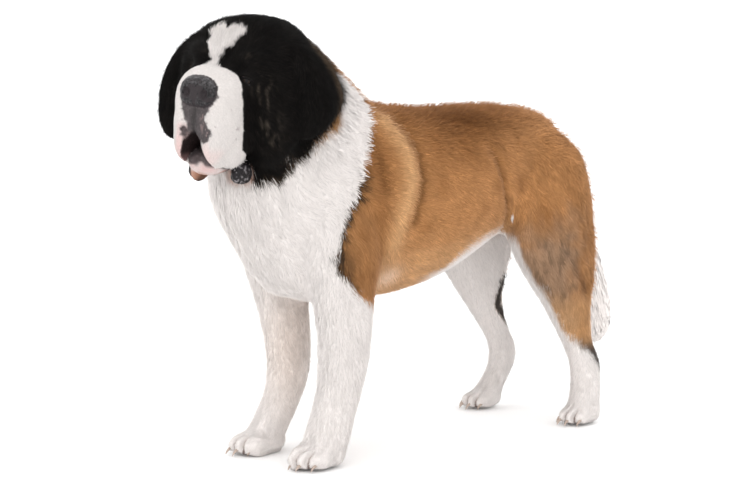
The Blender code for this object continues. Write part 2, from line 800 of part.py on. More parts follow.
def body_nodes():
    """Trunk, neck and the upper and lower parts of the legs, parted from one clay."""
    forms = [trunk_form(), neck_form()] + [leg_form(w) for w in PAWS] + skull_forms()
    clay = thinned(fused("body", forms, BODY_VOXEL, 5), BODY_FACES)
    nodes = {}
    neck = copied(clay, "neck")
    sliced(neck, NECK_CUT[0], NECK_CUT[1])
    sliced(neck, HEAD @ Vector(HEAD_CUT[0]), HEAD.to_3x3() @ -Vector(HEAD_CUT[1]))
    nodes["neck"] = neck
    torso = copied(clay, "torso")
    sliced(torso, NECK_CUT[0], -Vector(NECK_CUT[1]))
    for which in PAWS:
        side = 1 if which.endswith("left") else -1
        room = front_room if which.startswith("front") else hind_room
        cuts = FRONT_CUTS if which.startswith("front") else HIND_CUTS
        inside, outside = room(side), room(side, GAP)
        leg = combined(copied(clay, "leg"), [inside], "INTERSECT")
        sliced(leg, NECK_CUT[0], -Vector(NECK_CUT[1]))
        combined(torso, [outside], "DIFFERENCE")
        lower = copied(leg, "lower")
        nodes["leg_" + which + "_upper"] = sliced(leg, (0, 0, cuts[0]), Z)
        nodes["leg_" + which + "_lower"] = sliced(sliced(lower, (0, 0, cuts[0]), -Z), (0, 0, cuts[1]), Z)
        remove(inside, outside)
    nodes["torso"] = torso
    remove(clay)
    return nodes


def head_nodes():
    """Head and muzzle parted from one fine clay, with room for the ears, eyes, nose and jaw."""
    forms = [neck_form()] + skull_forms() + muzzle_forms()
    clay = fused("head", forms, HEAD_VOXEL, 9)
    pushed(clay, FACE, face_brushes())
    head = sliced(clay, HEAD @ Vector(HEAD_CUT[0]), HEAD.to_3x3() @ Vector(HEAD_CUT[1]))
    thinned(head, HEAD_FACES)
    muzzle = copied(head, "muzzle")
    inside, outside, wedge = muzzle_room(), muzzle_room(GAP), mouth_cutter()
    combined(muzzle, [inside], "INTERSECT")
    combined(muzzle, [wedge], "DIFFERENCE")
    combined(head, [outside], "DIFFERENCE")
    remove(inside, outside, wedge)
    nodes = {"head": head, "muzzle": largest(muzzle), "lower_jaw": jaw_form(), "nose": nose_form()}
    for side, hand in ((1, "left"), (-1, "right")):
        f, l, u = EYE_AT
        nodes["ear_" + hand] = ear_form(side)
        nodes["eye_" + hand] = ball((f, side * l, u), (EYE_RADIUS,) * 3, FACE, 7)
        opening = lid_opening(side)
        combined(head, [opening], "DIFFERENCE")
        remove(opening)
    eyes = [nodes["eye_left"], nodes["eye_right"]]
    ears = [nodes["ear_left"], nodes["ear_right"]]
    seated([muzzle], [nodes["nose"]])
    seated([head, muzzle], [nodes["lower_jaw"]])
    seated([head, muzzle], eyes)
    seated([head], ears)
    return nodes


COLOURS = {
    "head": (0.020, 0.018, 0.017),
    "muzzle": (0.82, 0.79, 0.76),
    "lower_jaw": (0.62, 0.50, 0.45),
    "nose": (0.055, 0.053, 0.060),
    "ear": (0.016, 0.014, 0.013),
    "eye": (0.060, 0.028, 0.012),
    "neck": (0.84, 0.81, 0.78),
    "torso": (0.40, 0.22, 0.10),
    "tail": (0.83, 0.80, 0.77),
    "leg": (0.84, 0.81, 0.78),
    "paw": (0.82, 0.77, 0.74),
    "claw": (0.45, 0.33, 0.29),
}


def main():
    clear_scene()
    nodes = body_nodes()
    nodes.update(head_nodes())
    for which in PAWS:
        cut = FRONT_CUTS[1] if which.startswith("front") else HIND_CUTS[1]
        paw = sliced(sliced(paw_form(which), (0, 0, cut), -Z), (0, 0, FLOOR), Z, 0.0)
        claws = claw_forms(which)
        seated([paw], claws)
        nodes["paw_" + which] = paw
        for k, claw in enumerate(claws):
            nodes["claw_" + which + "_" + "abcd"[k]] = claw
    nodes["tail"] = tail_form()
    seated([nodes["tail"]], [nodes["torso"], nodes["leg_hind_left_upper"], nodes["leg_hind_right_upper"]])
    seated([nodes["neck"]], [nodes["ear_left"], nodes["ear_right"], nodes["lower_jaw"]])
    for name, thing in nodes.items():
        rough = 0.15 if name.startswith("eye") else 0.45 if name == "nose" else 0.85
        kind = next(k for k in COLOURS if name.startswith(k))
        painted(largest(thing), name, COLOURS[kind], rough)
    centred(nodes.values())


def centred(things):
    """The whole dog moved so that the middle of its outer box stands over the origin."""
    every = np.vstack([points_of(t) for t in things])
    low, high = every.min(0), every.max(0)
    shift = np.array([(low[0] + high[0]) / 2, (low[1] + high[1]) / 2, low[2]])
    for thing in things:
        move_points(thing, points_of(thing) - shift)


main()
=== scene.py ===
import math

import bmesh
import bpy
import numpy as np
from mathutils import Matrix, Vector
from mathutils.bvhtree import BVHTree


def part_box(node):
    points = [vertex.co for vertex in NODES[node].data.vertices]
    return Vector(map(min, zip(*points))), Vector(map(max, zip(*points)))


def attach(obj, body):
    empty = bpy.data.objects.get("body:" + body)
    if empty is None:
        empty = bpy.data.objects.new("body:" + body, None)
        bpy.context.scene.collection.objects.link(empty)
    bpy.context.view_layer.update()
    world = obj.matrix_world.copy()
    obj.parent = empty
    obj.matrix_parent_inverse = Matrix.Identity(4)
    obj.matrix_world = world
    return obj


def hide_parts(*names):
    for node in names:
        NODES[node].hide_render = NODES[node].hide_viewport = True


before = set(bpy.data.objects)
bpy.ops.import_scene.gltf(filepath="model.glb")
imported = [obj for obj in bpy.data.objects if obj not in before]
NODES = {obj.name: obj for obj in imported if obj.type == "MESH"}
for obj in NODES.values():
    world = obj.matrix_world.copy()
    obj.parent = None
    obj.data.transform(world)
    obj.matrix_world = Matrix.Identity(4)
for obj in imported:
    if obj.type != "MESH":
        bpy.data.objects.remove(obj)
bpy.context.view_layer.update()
RANDOM = np.random.default_rng(4)

# Skin
SKIN_VOXEL = 0.0032
SKIN_OVERLAP = 0.0008
SKIN_FACES = 192000

# The head as in the solids: its centre, the way it looks, the tilt of the face, and the left eye in face terms
HEAD_AT = Vector((0.060, -0.543, 0.770))
HEAD_TURN = math.radians(24)
FACE_TILT = math.radians(9)
EYE_AT = Vector((0.082, 0.055, 0.038))
EYE_RADIUS = 0.0135

# The photo's viewpoint, in the terms of the solids before they are centred
CAMERA_AT = Vector((2.634, -2.419, 0.750))
CAMERA_AZIMUTH = math.radians(49.4)
CAMERA_PITCH = math.atan(138 / 1565)
CAMERA_LENS = 1565 / 729 * 36

# Tail core: height, sideways place, middle, half width, half depth, in the terms of the solids before centring
TAIL = (
    (0.660, 0.000, 0.382, 0.034, 0.032),
    (0.620, 0.000, 0.416, 0.048, 0.042),
    (0.560, 0.001, 0.454, 0.060, 0.050),
    (0.480, 0.003, 0.492, 0.072, 0.060),
    (0.380, 0.006, 0.532, 0.079, 0.066),
    (0.290, 0.008, 0.568, 0.078, 0.066),
    (0.220, 0.010, 0.588, 0.067, 0.058),
    (0.170, 0.012, 0.596, 0.042, 0.040),
    (0.145, 0.012, 0.594, 0.012, 0.012),
)
TAIL_CORE = 0.80

# Widening of the ears and the sides of the head before they are fused, so that the crease between them fills
CLOSING = 0.0065
FLOOR_GAP = 0.0005

# Coat of each part: length, width, depth over the skin, tufts per square metre, and segments of a tuft
COAT = {
    "muzzle": (0.0050, 0.0009, 0.0010, 330000, 1),
    "lower_jaw": (0.0050, 0.0009, 0.0010, 180000, 1),
    "nose": (0.0040, 0.0010, 0.0010, 0, 1),
    "head": (0.0130, 0.0014, 0.0030, 190000, 1),
    "ear": (0.0130, 0.0014, 0.0026, 165000, 1),
    "neck": (0.0210, 0.0018, 0.0055, 140000, 1),
    "torso": (0.0150, 0.0017, 0.0045, 107000, 1),
    "leg_front_left_upper": (0.0170, 0.0016, 0.0045, 130000, 1),
    "leg_front_right_upper": (0.0170, 0.0016, 0.0045, 110000, 1),
    "leg_hind_left_upper": (0.0180, 0.0016, 0.0045, 130000, 1),
    "leg_hind_right_upper": (0.0180, 0.0017, 0.0045, 100000, 1),
    "leg_front_left_lower": (0.0120, 0.0014, 0.0032, 155000, 1),
    "leg_front_right_lower": (0.0120, 0.0014, 0.0032, 140000, 1),
    "leg_hind_left_lower": (0.0125, 0.0015, 0.0034, 140000, 1),
    "leg_hind_right_lower": (0.0125, 0.0015, 0.0034, 130000, 1),
    "paw": (0.0075, 0.0012, 0.0020, 190000, 1),
    "tail": (0.0720, 0.0036, 0.0075, 56000, 3),
}

# Share of the coat's depth by which the skin lies inside the solids, about where the lying hair is thickest
INSET = 0.60

# Longer hair that stands off the coat and breaks its outline: length, width, lift, tufts per square metre
LONG_HAIR = {
    "ruff": (0.019, 0.0015, 0.0080, 40000),
    "back": (0.016, 0.0013, 0.0090, 17000),
    "fuzz": (0.017, 0.0014, 0.0100, 11500),
}


def centre_of(node):
    low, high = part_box(node)
    return (low + high) / 2


def head_frame():
    """Axes of the head: x forward, y to the dog's left, z up."""
    forward = Vector((math.sin(HEAD_TURN), -math.cos(HEAD_TURN), 0))
    left = Vector((math.cos(HEAD_TURN), math.sin(HEAD_TURN), 0))
    return Matrix.Translation(HEAD_AT) @ Matrix((forward, left, Vector((0, 0, 1)))).transposed().to_4x4()


TILT = Matrix.Rotation(-FACE_TILT, 4, "X")
SHIFT = centre_of("eye_left") - head_frame() @ TILT @ EYE_AT
HEAD = Matrix.Translation(SHIFT) @ head_frame()
FACE = HEAD @ TILT
OFFSET = np.array(SHIFT)
EYES = {1: centre_of("eye_left"), -1: centre_of("eye_right")}


def inside(points, frame_matrix):
    """Points in the terms of a frame."""
    turn = np.array(frame_matrix.to_3x3())
    return (points - np.array(frame_matrix.translation)) @ turn


def outside(points, frame_matrix):
    """Points of a frame, in the dog's own terms."""
    return points @ np.array(frame_matrix.to_3x3()).T + np.array(frame_matrix.translation)


def unit(vectors):
    return vectors / np.maximum(np.linalg.norm(vectors, axis=-1, keepdims=True), 1e-12)


def ease(value, low, high):
    """0 below low, 1 above high, and a smooth step between."""
    t = np.clip((value - low) / (high - low), 0, 1)
    return t * t * (3 - 2 * t)


def hashed(cells, seed):
    """A fixed random number from 0 to 1 for each whole-number cell."""
    value = (cells[..., 0] * 374761393 + cells[..., 1] * 668265263 + cells[..., 2] * 2147483647 + seed * 974634777)
    value = (value ^ (value >> 13)) * 1274126177
    value = value ^ (value >> 16)
    return (value & 0xFFFFFF) / 0xFFFFFF


def noise(points, size, seed=0):
    """Smooth noise from -1 to 1 with lumps of a size."""
    scaled = points / size
    base = np.floor(scaled).astype(np.int64)
    t = scaled - base
    t = t * t * (3 - 2 * t)
    total = 0
    for dx in (0, 1):
        for dy in (0, 1):
            for dz in (0, 1):
                weight = (t[:, 0] if dx else 1 - t[:, 0]) * (t[:, 1] if dy else 1 - t[:, 1])
                weight = weight * (t[:, 2] if dz else 1 - t[:, 2])
                total = total + weight * hashed(base + np.array([dx, dy, dz]), seed)
    return 2 * total - 1


def noise_slope(points, size, seed=0):
    """The direction in which the noise rises."""
    step = size * 0.15
    out = np.empty_like(points)
    for k in range(3):
        move = np.zeros(3)
        move[k] = step
        out[:, k] = (noise(points + move, size, seed) - noise(points - move, size, seed)) / (2 * step) * size
    return out


def deselect():
    bpy.ops.object.select_all(action="DESELECT")


def only(thing):
    deselect()
    thing.select_set(True)
    bpy.context.view_layer.objects.active = thing


def apply_modifier(thing, modifier):
    only(thing)
    bpy.ops.object.modifier_apply(modifier=modifier.name)


def points_of(mesh):
    flat = np.empty(len(mesh.vertices) * 3)
    mesh.vertices.foreach_get("co", flat)
    return flat.reshape(-1, 3)


def set_points(mesh, points):
    mesh.vertices.foreach_set("co", points.astype(np.float32).ravel())
    mesh.update()


def triangles_of(mesh):
    mesh.calc_loop_triangles()
    flat = np.empty(len(mesh.loop_triangles) * 3, np.int32)
    mesh.loop_triangles.foreach_get("vertices", flat)
    return flat.reshape(-1, 3)


def edges_of(mesh):
    flat = np.empty(len(mesh.edges) * 2, np.int32)
    mesh.edges.foreach_get("vertices", flat)
    return flat.reshape(-1, 2)


def vertex_normals(points, triangles):
    face = np.cross(points[triangles[:, 1]] - points[triangles[:, 0]], points[triangles[:, 2]] - points[triangles[:, 0]])
    out = np.zeros_like(points)
    for k in range(3):
        for axis in range(3):
            out[:, axis] += np.bincount(triangles[:, k], face[:, axis], len(points))
    return unit(out)


def spread(values, edges, passes, weight=0.5):
    """Values at the points of a mesh, each drawn towards the mean of its neighbours."""
    a, b = edges.T
    values = values.reshape(len(values), -1).astype(float)
    count = np.maximum(np.bincount(a, minlength=len(values)) + np.bincount(b, minlength=len(values)), 1)
    for _ in range(passes):
        for k in range(values.shape[1]):
            column = values[:, k]
            total = np.bincount(a, column[b], len(column)) + np.bincount(b, column[a], len(column))
            values[:, k] = column + weight * (total / count - column)
    return values


def rounded(rows, steps):
    """Rows of a table read from a smooth curve through them."""
    rows = np.array(rows, float)
    before = np.vstack([2 * rows[0] - rows[1], rows[:-1]])
    after = np.vstack([rows[1:], 2 * rows[-1] - rows[-2]])
    lean = (after - before) / 2
    out = []
    for i in range(len(rows) - 1):
        for k in range(steps):
            t = k / steps
            here = (2 * t**3 - 3 * t**2 + 1) * rows[i] + (t**3 - 2 * t**2 + t) * lean[i]
            out.append(here + (-2 * t**3 + 3 * t**2) * rows[i + 1] + (t**3 - t**2) * lean[i + 1])
    out.append(rows[-1])
    return np.array(out)


def lofted(name, rings, closed_ends=True):
    """A tube through rings of equal count, given as an array of rings, points and axes."""
    count, around = rings.shape[:2]
    quads = []
    for i in range(count - 1):
        for k in range(around):
            m = (k + 1) % around
            quads.append((i * around + k, i * around + m, (i + 1) * around + m, (i + 1) * around + k))
    if closed_ends:
        quads.append(tuple(range(around))[::-1])
        quads.append(tuple((count - 1) * around + k for k in range(around)))
    mesh = bpy.data.meshes.new(name)
    mesh.from_pydata([tuple(p) for p in rings.reshape(-1, 3)], [], quads)
    thing = bpy.data.objects.new(name, mesh)
    bpy.context.scene.collection.objects.link(thing)
    facing_out(thing)
    return thing


def facing_out(thing):
    work = bmesh.new()
    work.from_mesh(thing.data)
    bmesh.ops.recalc_face_normals(work, faces=work.faces)
    work.to_mesh(thing.data)
    work.free()


def copy_of(node, name):
    """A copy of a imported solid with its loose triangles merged."""
    thing = bpy.data.objects.new(name, NODES[node].data.copy())
    thing.data.materials.clear()
    bpy.context.scene.collection.objects.link(thing)
    work = bmesh.new()
    work.from_mesh(thing.data)
    bmesh.ops.remove_doubles(work, verts=work.verts, dist=1e-6)
    work.to_mesh(thing.data)
    work.free()
    return thing


def tail_core():
    rings = []
    for z, x, y, half, deep in rounded(TAIL, 3):
        turn = 2 * np.pi * np.arange(20) / 20
        size = TAIL_CORE + 0.45 * max(0.0, 1 - (TAIL[0][0] - z) / 0.09)
        ring = np.stack([x + half * size * np.cos(turn), y + deep * size * np.sin(turn), np.full(20, z)], 1)
        rings.append(ring + OFFSET)
    return lofted("tail_core", np.array(rings))


FLESH = [n for n in NODES if not n.startswith(("eye", "claw", "tail"))]


def closing(points):
    """How far a point is moved out before the parts are fused: most on the ears and the sides of the head."""
    inner = inside(points, HEAD)
    return CLOSING * ease(np.abs(inner[:, 1]), 0.070, 0.095) * ease(-inner[:, 0], -0.070, -0.040)


def body_skin():
    """The flesh nodes and the tail's core fused to one closed surface."""
    parts = []
    for node in FLESH:
        part = copy_of(node, "flesh_" + node)
        mesh = part.data
        points = points_of(mesh)
        grown = SKIN_OVERLAP + (closing(points) if node.startswith(("ear", "head")) else 0)
        set_points(mesh, points + vertex_normals(points, triangles_of(mesh)) * np.reshape(grown, (-1, 1)))
        parts.append(part)
    parts.append(tail_core())
    deselect()
    for part in parts:
        part.select_set(True)
    bpy.context.view_layer.objects.active = parts[0]
    bpy.ops.object.join()
    skin = parts[0]
    skin.name = "skin"
    remesh = skin.modifiers.new("fuse", "REMESH")
    remesh.mode = "VOXEL"
    remesh.voxel_size = SKIN_VOXEL
    apply_modifier(skin, remesh)
    return skin


def largest_only(skin):
    """Loose inner bubbles taken away."""
    mesh = skin.data
    edges = edges_of(mesh)
    label = np.arange(len(mesh.vertices))
    while True:
        low = np.minimum(label[edges[:, 0]], label[edges[:, 1]])
        new = label.copy()
        np.minimum.at(new, edges[:, 0], low)
        np.minimum.at(new, edges[:, 1], low)
        new = new[new]
        if (new == label).all():
            break
        label = new
    names, counts = np.unique(label, return_counts=True)
    keep = names[np.argmax(counts)]
    if len(names) > 1:
        work = bmesh.new()
        work.from_mesh(mesh)
        work.verts.ensure_lookup_table()
        bmesh.ops.delete(work, geom=[work.verts[i] for i in np.flatnonzero(label != keep)], context="VERTS")
        work.to_mesh(mesh)
        work.free()


def pushed(points, frame_matrix, brushes):
    """Soft brushes on the clay: place, reach along each axis, and push, in the terms of a frame."""
    inner = inside(points, frame_matrix)
    for place, reach, push in brushes:
        far = (((inner - np.array(place)) / np.array(reach)) ** 2).sum(1)
        inner = inner + np.exp(-far)[:, None] * np.array(push)
    return outside(inner, frame_matrix)


def near_line(points, line, across=1.0):
    """Distance of each point from a line through several spots, with distance along X counted in part."""
    best = np.full(len(points), 9.0)
    part = np.array([across, 1.0, 1.0])
    points = points * part
    line = np.array(line, float) * part
    for a, b in zip(line[:-1], line[1:]):
        t = np.clip(((points - a) @ (b - a)) / ((b - a) @ (b - a)), 0, 1)
        best = np.minimum(best, np.linalg.norm(points - a - t[:, None] * (b - a), axis=1))
    return best


# Folds of the body, each a line of spots with a width and a height, on the left side
RIDGE = ((0.119, -0.208, 0.716), (0.144, -0.193, 0.686), (0.167, -0.178, 0.640), (0.178, -0.180, 0.585),
         (0.177, -0.208, 0.503), (0.166, -0.222, 0.452))
GROOVE = ((0.140, -0.262, 0.690), (0.154, -0.250, 0.656), (0.164, -0.242, 0.624), (0.172, -0.240, 0.580))
BEHIND_RIDGE = ((0.130, -0.160, 0.716), (0.160, -0.142, 0.670), (0.175, -0.138, 0.590), (0.174, -0.165, 0.500))
FLANK = ((0.166, 0.085, 0.650), (0.168, 0.100, 0.630), (0.169, 0.117, 0.589), (0.164, 0.131, 0.547),
         (0.145, 0.158, 0.499), (0.129, 0.165, 0.475))
THIGH = ((0.206, 0.282, 0.420), (0.206, 0.313, 0.379), (0.205, 0.343, 0.342), (0.202, 0.358, 0.317))
BODY_FOLDS = (
    (RIDGE, 0.026, 0.008),
    (GROOVE, 0.024, -0.008),
    (BEHIND_RIDGE, 0.015, -0.006),
    (FLANK, 0.013, -0.008),
    (THIGH, 0.012, -0.005),
)


# Where each paw stands, and the size of it; toes and the gaps between them are spaced in toe widths
PAWS = ((0.103, -0.374, 1.0), (-0.103, -0.386, 1.0), (0.151, 0.392, 0.90), (-0.147, 0.357, 0.90))
TOE = 0.0222
GAPS = (-1.10, 0.0, 1.10)


def toe_marks(points):
    """How far each point lies in a gap between two toes, and how far on a toe, both from 0 to 1."""
    gap, swell = np.zeros(len(points)), np.zeros(len(points))
    for x, y, size in PAWS:
        dx, dy, up = ((points - OFFSET) - np.array([x, y, -OFFSET[2]])).T / (TOE * size)
        reach = ease(-dy, 0.9, 2.1) * ease(-up, -3.0, -1.9) * ease(-np.abs(dx), -2.9, -2.5) * ease(-np.abs(dy), -5.5, -5.0)
        fan = 0.72 + 0.28 * ease(-dy, 0.4, 3.2)
        for place in GAPS:
            gap = np.maximum(gap, reach * np.exp(-(((dx - place * fan) / 0.17) ** 2)))
        for place in (-1.6, -0.55, 0.55, 1.6):
            swell = np.maximum(swell, reach * np.exp(-(((dx - place * fan) / 0.42) ** 2)))
    return gap, swell


def sculpted(points, normals):
    """The folds of the body and of the face pressed into the clay, and the toes drawn apart."""
    local = points - OFFSET
    gap, swell = toe_marks(points)
    upper = ease(normals[:, 2], -0.75, -0.25)
    points = points + normals * (upper * (0.0030 * swell - 0.0080 * gap))[:, None]
    for line, width, height in BODY_FOLDS:
        for side in (1, -1):
            far = near_line(local * np.array([side, 1, 1]), line, 0.35)
            points = points + normals * (height * np.exp(-((far / width) ** 2)))[:, None]
    brushes = [
        ((0.150, 0, -0.055), (0.030, 0.0050, 0.034), (-0.006, 0, 0)),
        ((0.062, 0, 0.100), (0.040, 0.009, 0.040), (-0.004, 0, -0.003)),
    ]
    for side in (1, -1):
        brushes += [
            ((0.060, side * 0.052, 0.070), (0.026, 0.026, 0.012), (0.005, 0, 0.001)),
            ((0.096, side * 0.060, 0.014), (0.020, 0.016, 0.007), (0.003, 0, -0.002)),
            ((0.060, side * 0.100, -0.010), (0.016, 0.020, 0.070), (-0.004, side * 0.004, 0)),
            ((0.030, side * 0.110, -0.020), (0.010, 0.020, 0.070), (0, side * -0.005, 0)),
            ((0.004, side * 0.110, -0.030), (0.010, 0.020, 0.070), (0, side * 0.004, 0)),
        ]
    brushes.append(((0.060, 0.052, -0.186), (0.030, 0.022, 0.016), (0, -0.002, 0.008)))
    points = pushed(points, FACE, brushes)
    return pushed(points, HEAD, [((0.030, -0.085, 0.095), (0.060, 0.035, 0.035), (0, -0.006, 0.008))])


def thinned(skin, faces):
    """The skin with fewer faces, most of them kept on the head."""
    points = points_of(skin.data)
    inner = inside(points, HEAD)
    far = np.linalg.norm(inner - np.array([0.05, 0, -0.01]), axis=1)
    group = skin.vertex_groups.new(name="body")
    weight = 0.15 + 0.85 * ease(far, 0.14, 0.26)
    for level in np.unique(np.round(weight, 1)):
        chosen = np.flatnonzero(np.round(weight, 1) == level)
        group.add([int(i) for i in chosen], float(level), "REPLACE")
    fewer = skin.modifiers.new("fewer", "DECIMATE")
    now = sum(len(p.vertices) - 2 for p in skin.data.polygons)
    fewer.ratio = min(1.0, faces / now)
    fewer.vertex_group = "body"
    fewer.use_collapse_triangulate = True
    apply_modifier(skin, fewer)
    skin.vertex_groups.clear()


def nearest_nodes(points):
    """The name of the flesh node nearest to each point."""
    verts, faces, names = [], [], []
    for node in FLESH + ["tail"]:
        mesh = NODES[node].data
        base = len(verts)
        verts += [tuple(p) for p in points_of(mesh)]
        for tri in triangles_of(mesh):
            faces.append(tuple(int(i) + base for i in tri))
            names.append(node)
    tree = BVHTree.FromPolygons(verts, faces)
    return [names[tree.find_nearest(Vector(p))[2]] for p in points]


def coat_key(node):
    for key in COAT:
        if node.startswith(key):
            return key
    return node


def main_lie(points, normals, names):
    """The way the coat lies at each point, before it is smoothed."""
    face = inside(points, FACE)
    head_turn = np.array(FACE.to_3x3())
    from_nose = face - np.array([0.175, 0, 0.0])
    on_face = from_nose * np.array([1.0, 1.0, 1.0])
    cheek = ease(np.abs(face[:, 1]), 0.04, 0.10)
    on_face[:, 2] -= 0.13 * cheek
    on_face = unit(on_face) @ head_turn.T
    flew = unit(from_nose * np.array([1, 0.6, 1]) + np.array([-0.02, 0, -0.05])) @ head_turn.T
    ear = unit(np.array([-0.20, 0.0, -1.0])) @ head_turn.T
    lie = np.empty_like(points)
    for k, name in enumerate(names):
        if name == "muzzle":
            lie[k] = flew[k]
        elif name == "nose":
            lie[k] = on_face[k]
        elif name == "head":
            lie[k] = on_face[k]
        elif name.startswith("ear"):
            lie[k] = ear
        elif name == "lower_jaw":
            lie[k] = (0, 0.6, -0.8)
        elif name == "neck":
            lie[k] = (0, 0.50, -0.87)
        elif name == "torso":
            lie[k] = (0, 0.90, -0.44)
        elif name.startswith("paw"):
            lie[k] = (0, -0.75, -0.66)
        elif name == "tail":
            lie[k] = (0, 0.30, -0.95)
        elif name.startswith("leg_hind") and name.endswith("upper"):
            lie[k] = (0, 0.42, -0.91)
        elif name.endswith("upper"):
            lie[k] = (0, 0.25, -0.97)
        else:
            lie[k] = (0, 0.08, -1.0)
    return lie


def along(vectors, normals):
    """Vectors laid flat on the surface."""
    return unit(vectors - normals * (vectors * normals).sum(-1, keepdims=True))


# Markings of the body, in the terms of the solids before they are centred. Brown begins behind the collar's edge,
# given as a place along Y for each height, and above the lower edge, given as a height for each place along Y.
COLLAR_Z = (0.330, 0.340, 0.359, 0.384, 0.402, 0.429, 0.464, 0.504, 0.553, 0.605, 0.656, 0.697, 0.739, 0.782, 0.820, 0.860)
COLLAR_Y = (-0.296, -0.302, -0.329, -0.357, -0.369, -0.377, -0.375, -0.356, -0.317, -0.292, -0.268, -0.251, -0.243, -0.273, -0.332, -0.420)
LOW_Y = (-0.400, -0.300, -0.250, -0.200, -0.100, -0.040, -0.009, 0.038, 0.100, 0.160, 0.186, 0.206, 0.245, 0.283, 0.316, 0.354, 0.384, 0.413, 0.430)
LOW_Z = (0.345, 0.335, 0.310, 0.290, 0.300, 0.360, 0.402, 0.438, 0.454, 0.466, 0.408, 0.371, 0.323, 0.273, 0.223, 0.185, 0.165, 0.138, 0.120)
STRIPE = ((0, 0.226, 0.322), (0, 0.218, 0.300), (0, 0.211, 0.270), (0, 0.213, 0.248), (0, 0.230, 0.216), (0, 0.246, 0.192))

# Black of the cheek on the neck, in head terms: its lower edge as a height for each place along y
CHEEK_L = (0.000, 0.025, 0.049, 0.077, 0.090, 0.111, 0.127, 0.140, 0.160, 0.180)
CHEEK_U = (-0.156, -0.173, -0.174, -0.168, -0.150, -0.126, -0.104, -0.080, -0.046, -0.016)

# Markings of the head, in face terms. The muzzle is white ahead of a place along x for each height. The blaze has
# two edges along y for each place on its way up, counted as height less a part of the reach forward.
MUZZLE_UP = (-0.140, -0.125, -0.109, -0.098, -0.058, -0.029, 0.004, 0.032, 0.046, 0.060, 0.070)
MUZZLE_AT = (0.020, 0.040, 0.066, 0.090, 0.097, 0.100, 0.108, 0.107, 0.106, 0.114, 0.150)
BLAZE_PLACE = (0.000, 0.010, 0.018, 0.026, 0.037, 0.050, 0.061, 0.074, 0.082, 0.100, 0.112, 0.122, 0.130)
BLAZE_LOW = (-0.040, -0.040, -0.038, -0.035, -0.032, -0.036, -0.044, -0.054, -0.059, -0.064, -0.064, -0.058, -0.046)
BLAZE_HIGH = (0.032, 0.017, 0.003, -0.007, -0.013, -0.015, -0.013, -0.008, -0.002, 0.010, 0.016, 0.013, 0.000)

# Dark pigment of the upper lips, in face terms: two edges along y for each height
PIGMENT_U = (-0.092, -0.086, -0.082, -0.070, -0.062, -0.054, -0.043, -0.034, -0.019, -0.006, 0.004)
PIGMENT_LOW = (-0.014, -0.022, -0.027, -0.028, -0.025, -0.017, -0.021, -0.026, -0.034, -0.040, -0.042)
PIGMENT_HIGH = (0.026, 0.036, 0.041, 0.043, 0.041, 0.034, 0.027, 0.029, 0.034, 0.043, 0.046)

WHITE = np.array((0.87, 0.815, 0.785))
BLACK = np.array((0.0042, 0.0034, 0.0030))
SOOT = np.array((0.040, 0.026, 0.016))
# Smoky tint of black hair, also used as painted sheen and highlight on the head's folds
SMOKE_AND_SHEEN = np.array((0.046, 0.037, 0.029))
GREY = np.array((0.075, 0.062, 0.055))
TAN = np.array((0.43, 0.200, 0.074))
PALE_TAN = np.array((0.66, 0.37, 0.170))
DEEP_TAN = np.array((0.26, 0.105, 0.032))
DARK_TAN = np.array((0.105, 0.038, 0.009))
ASH_TAN = np.array((0.36, 0.225, 0.140))
GOLD = np.array((0.33, 0.170, 0.066))
RUST = np.array((0.42, 0.205, 0.130))
PEACH = np.array((0.80, 0.56, 0.40))
PINK = np.array((0.70, 0.47, 0.45))
MOUTH_SHADE = np.array((0.022, 0.013, 0.013))
MOUTH_WALL = np.array((0.30, 0.17, 0.165))
PIGMENT = np.array((0.050, 0.040, 0.043))
GLINT = np.array((0.26, 0.24, 0.25))
LIP_BLACK = np.array((0.012, 0.010, 0.011))
# Painted shade between the toes, and darker painted shade near the floor
TOE_GAP_SHADE = np.array((0.52, 0.37, 0.32))
TOE_FLOOR_SHADE = np.array((0.13, 0.075, 0.060))


def mixed(base, over, weight):
    return base + (over - base) * np.reshape(weight, (-1, 1))


def blob(points, place, reach):
    return np.exp(-(((points - np.array(place)) / np.array(reach)) ** 2).sum(1))


def line_of(points, line, width, across=1.0):
    return np.exp(-((near_line(points, line, across) / width) ** 2))


def varied(points, size, much, seed):
    return (1 + much * noise(points, size, seed))[:, None]


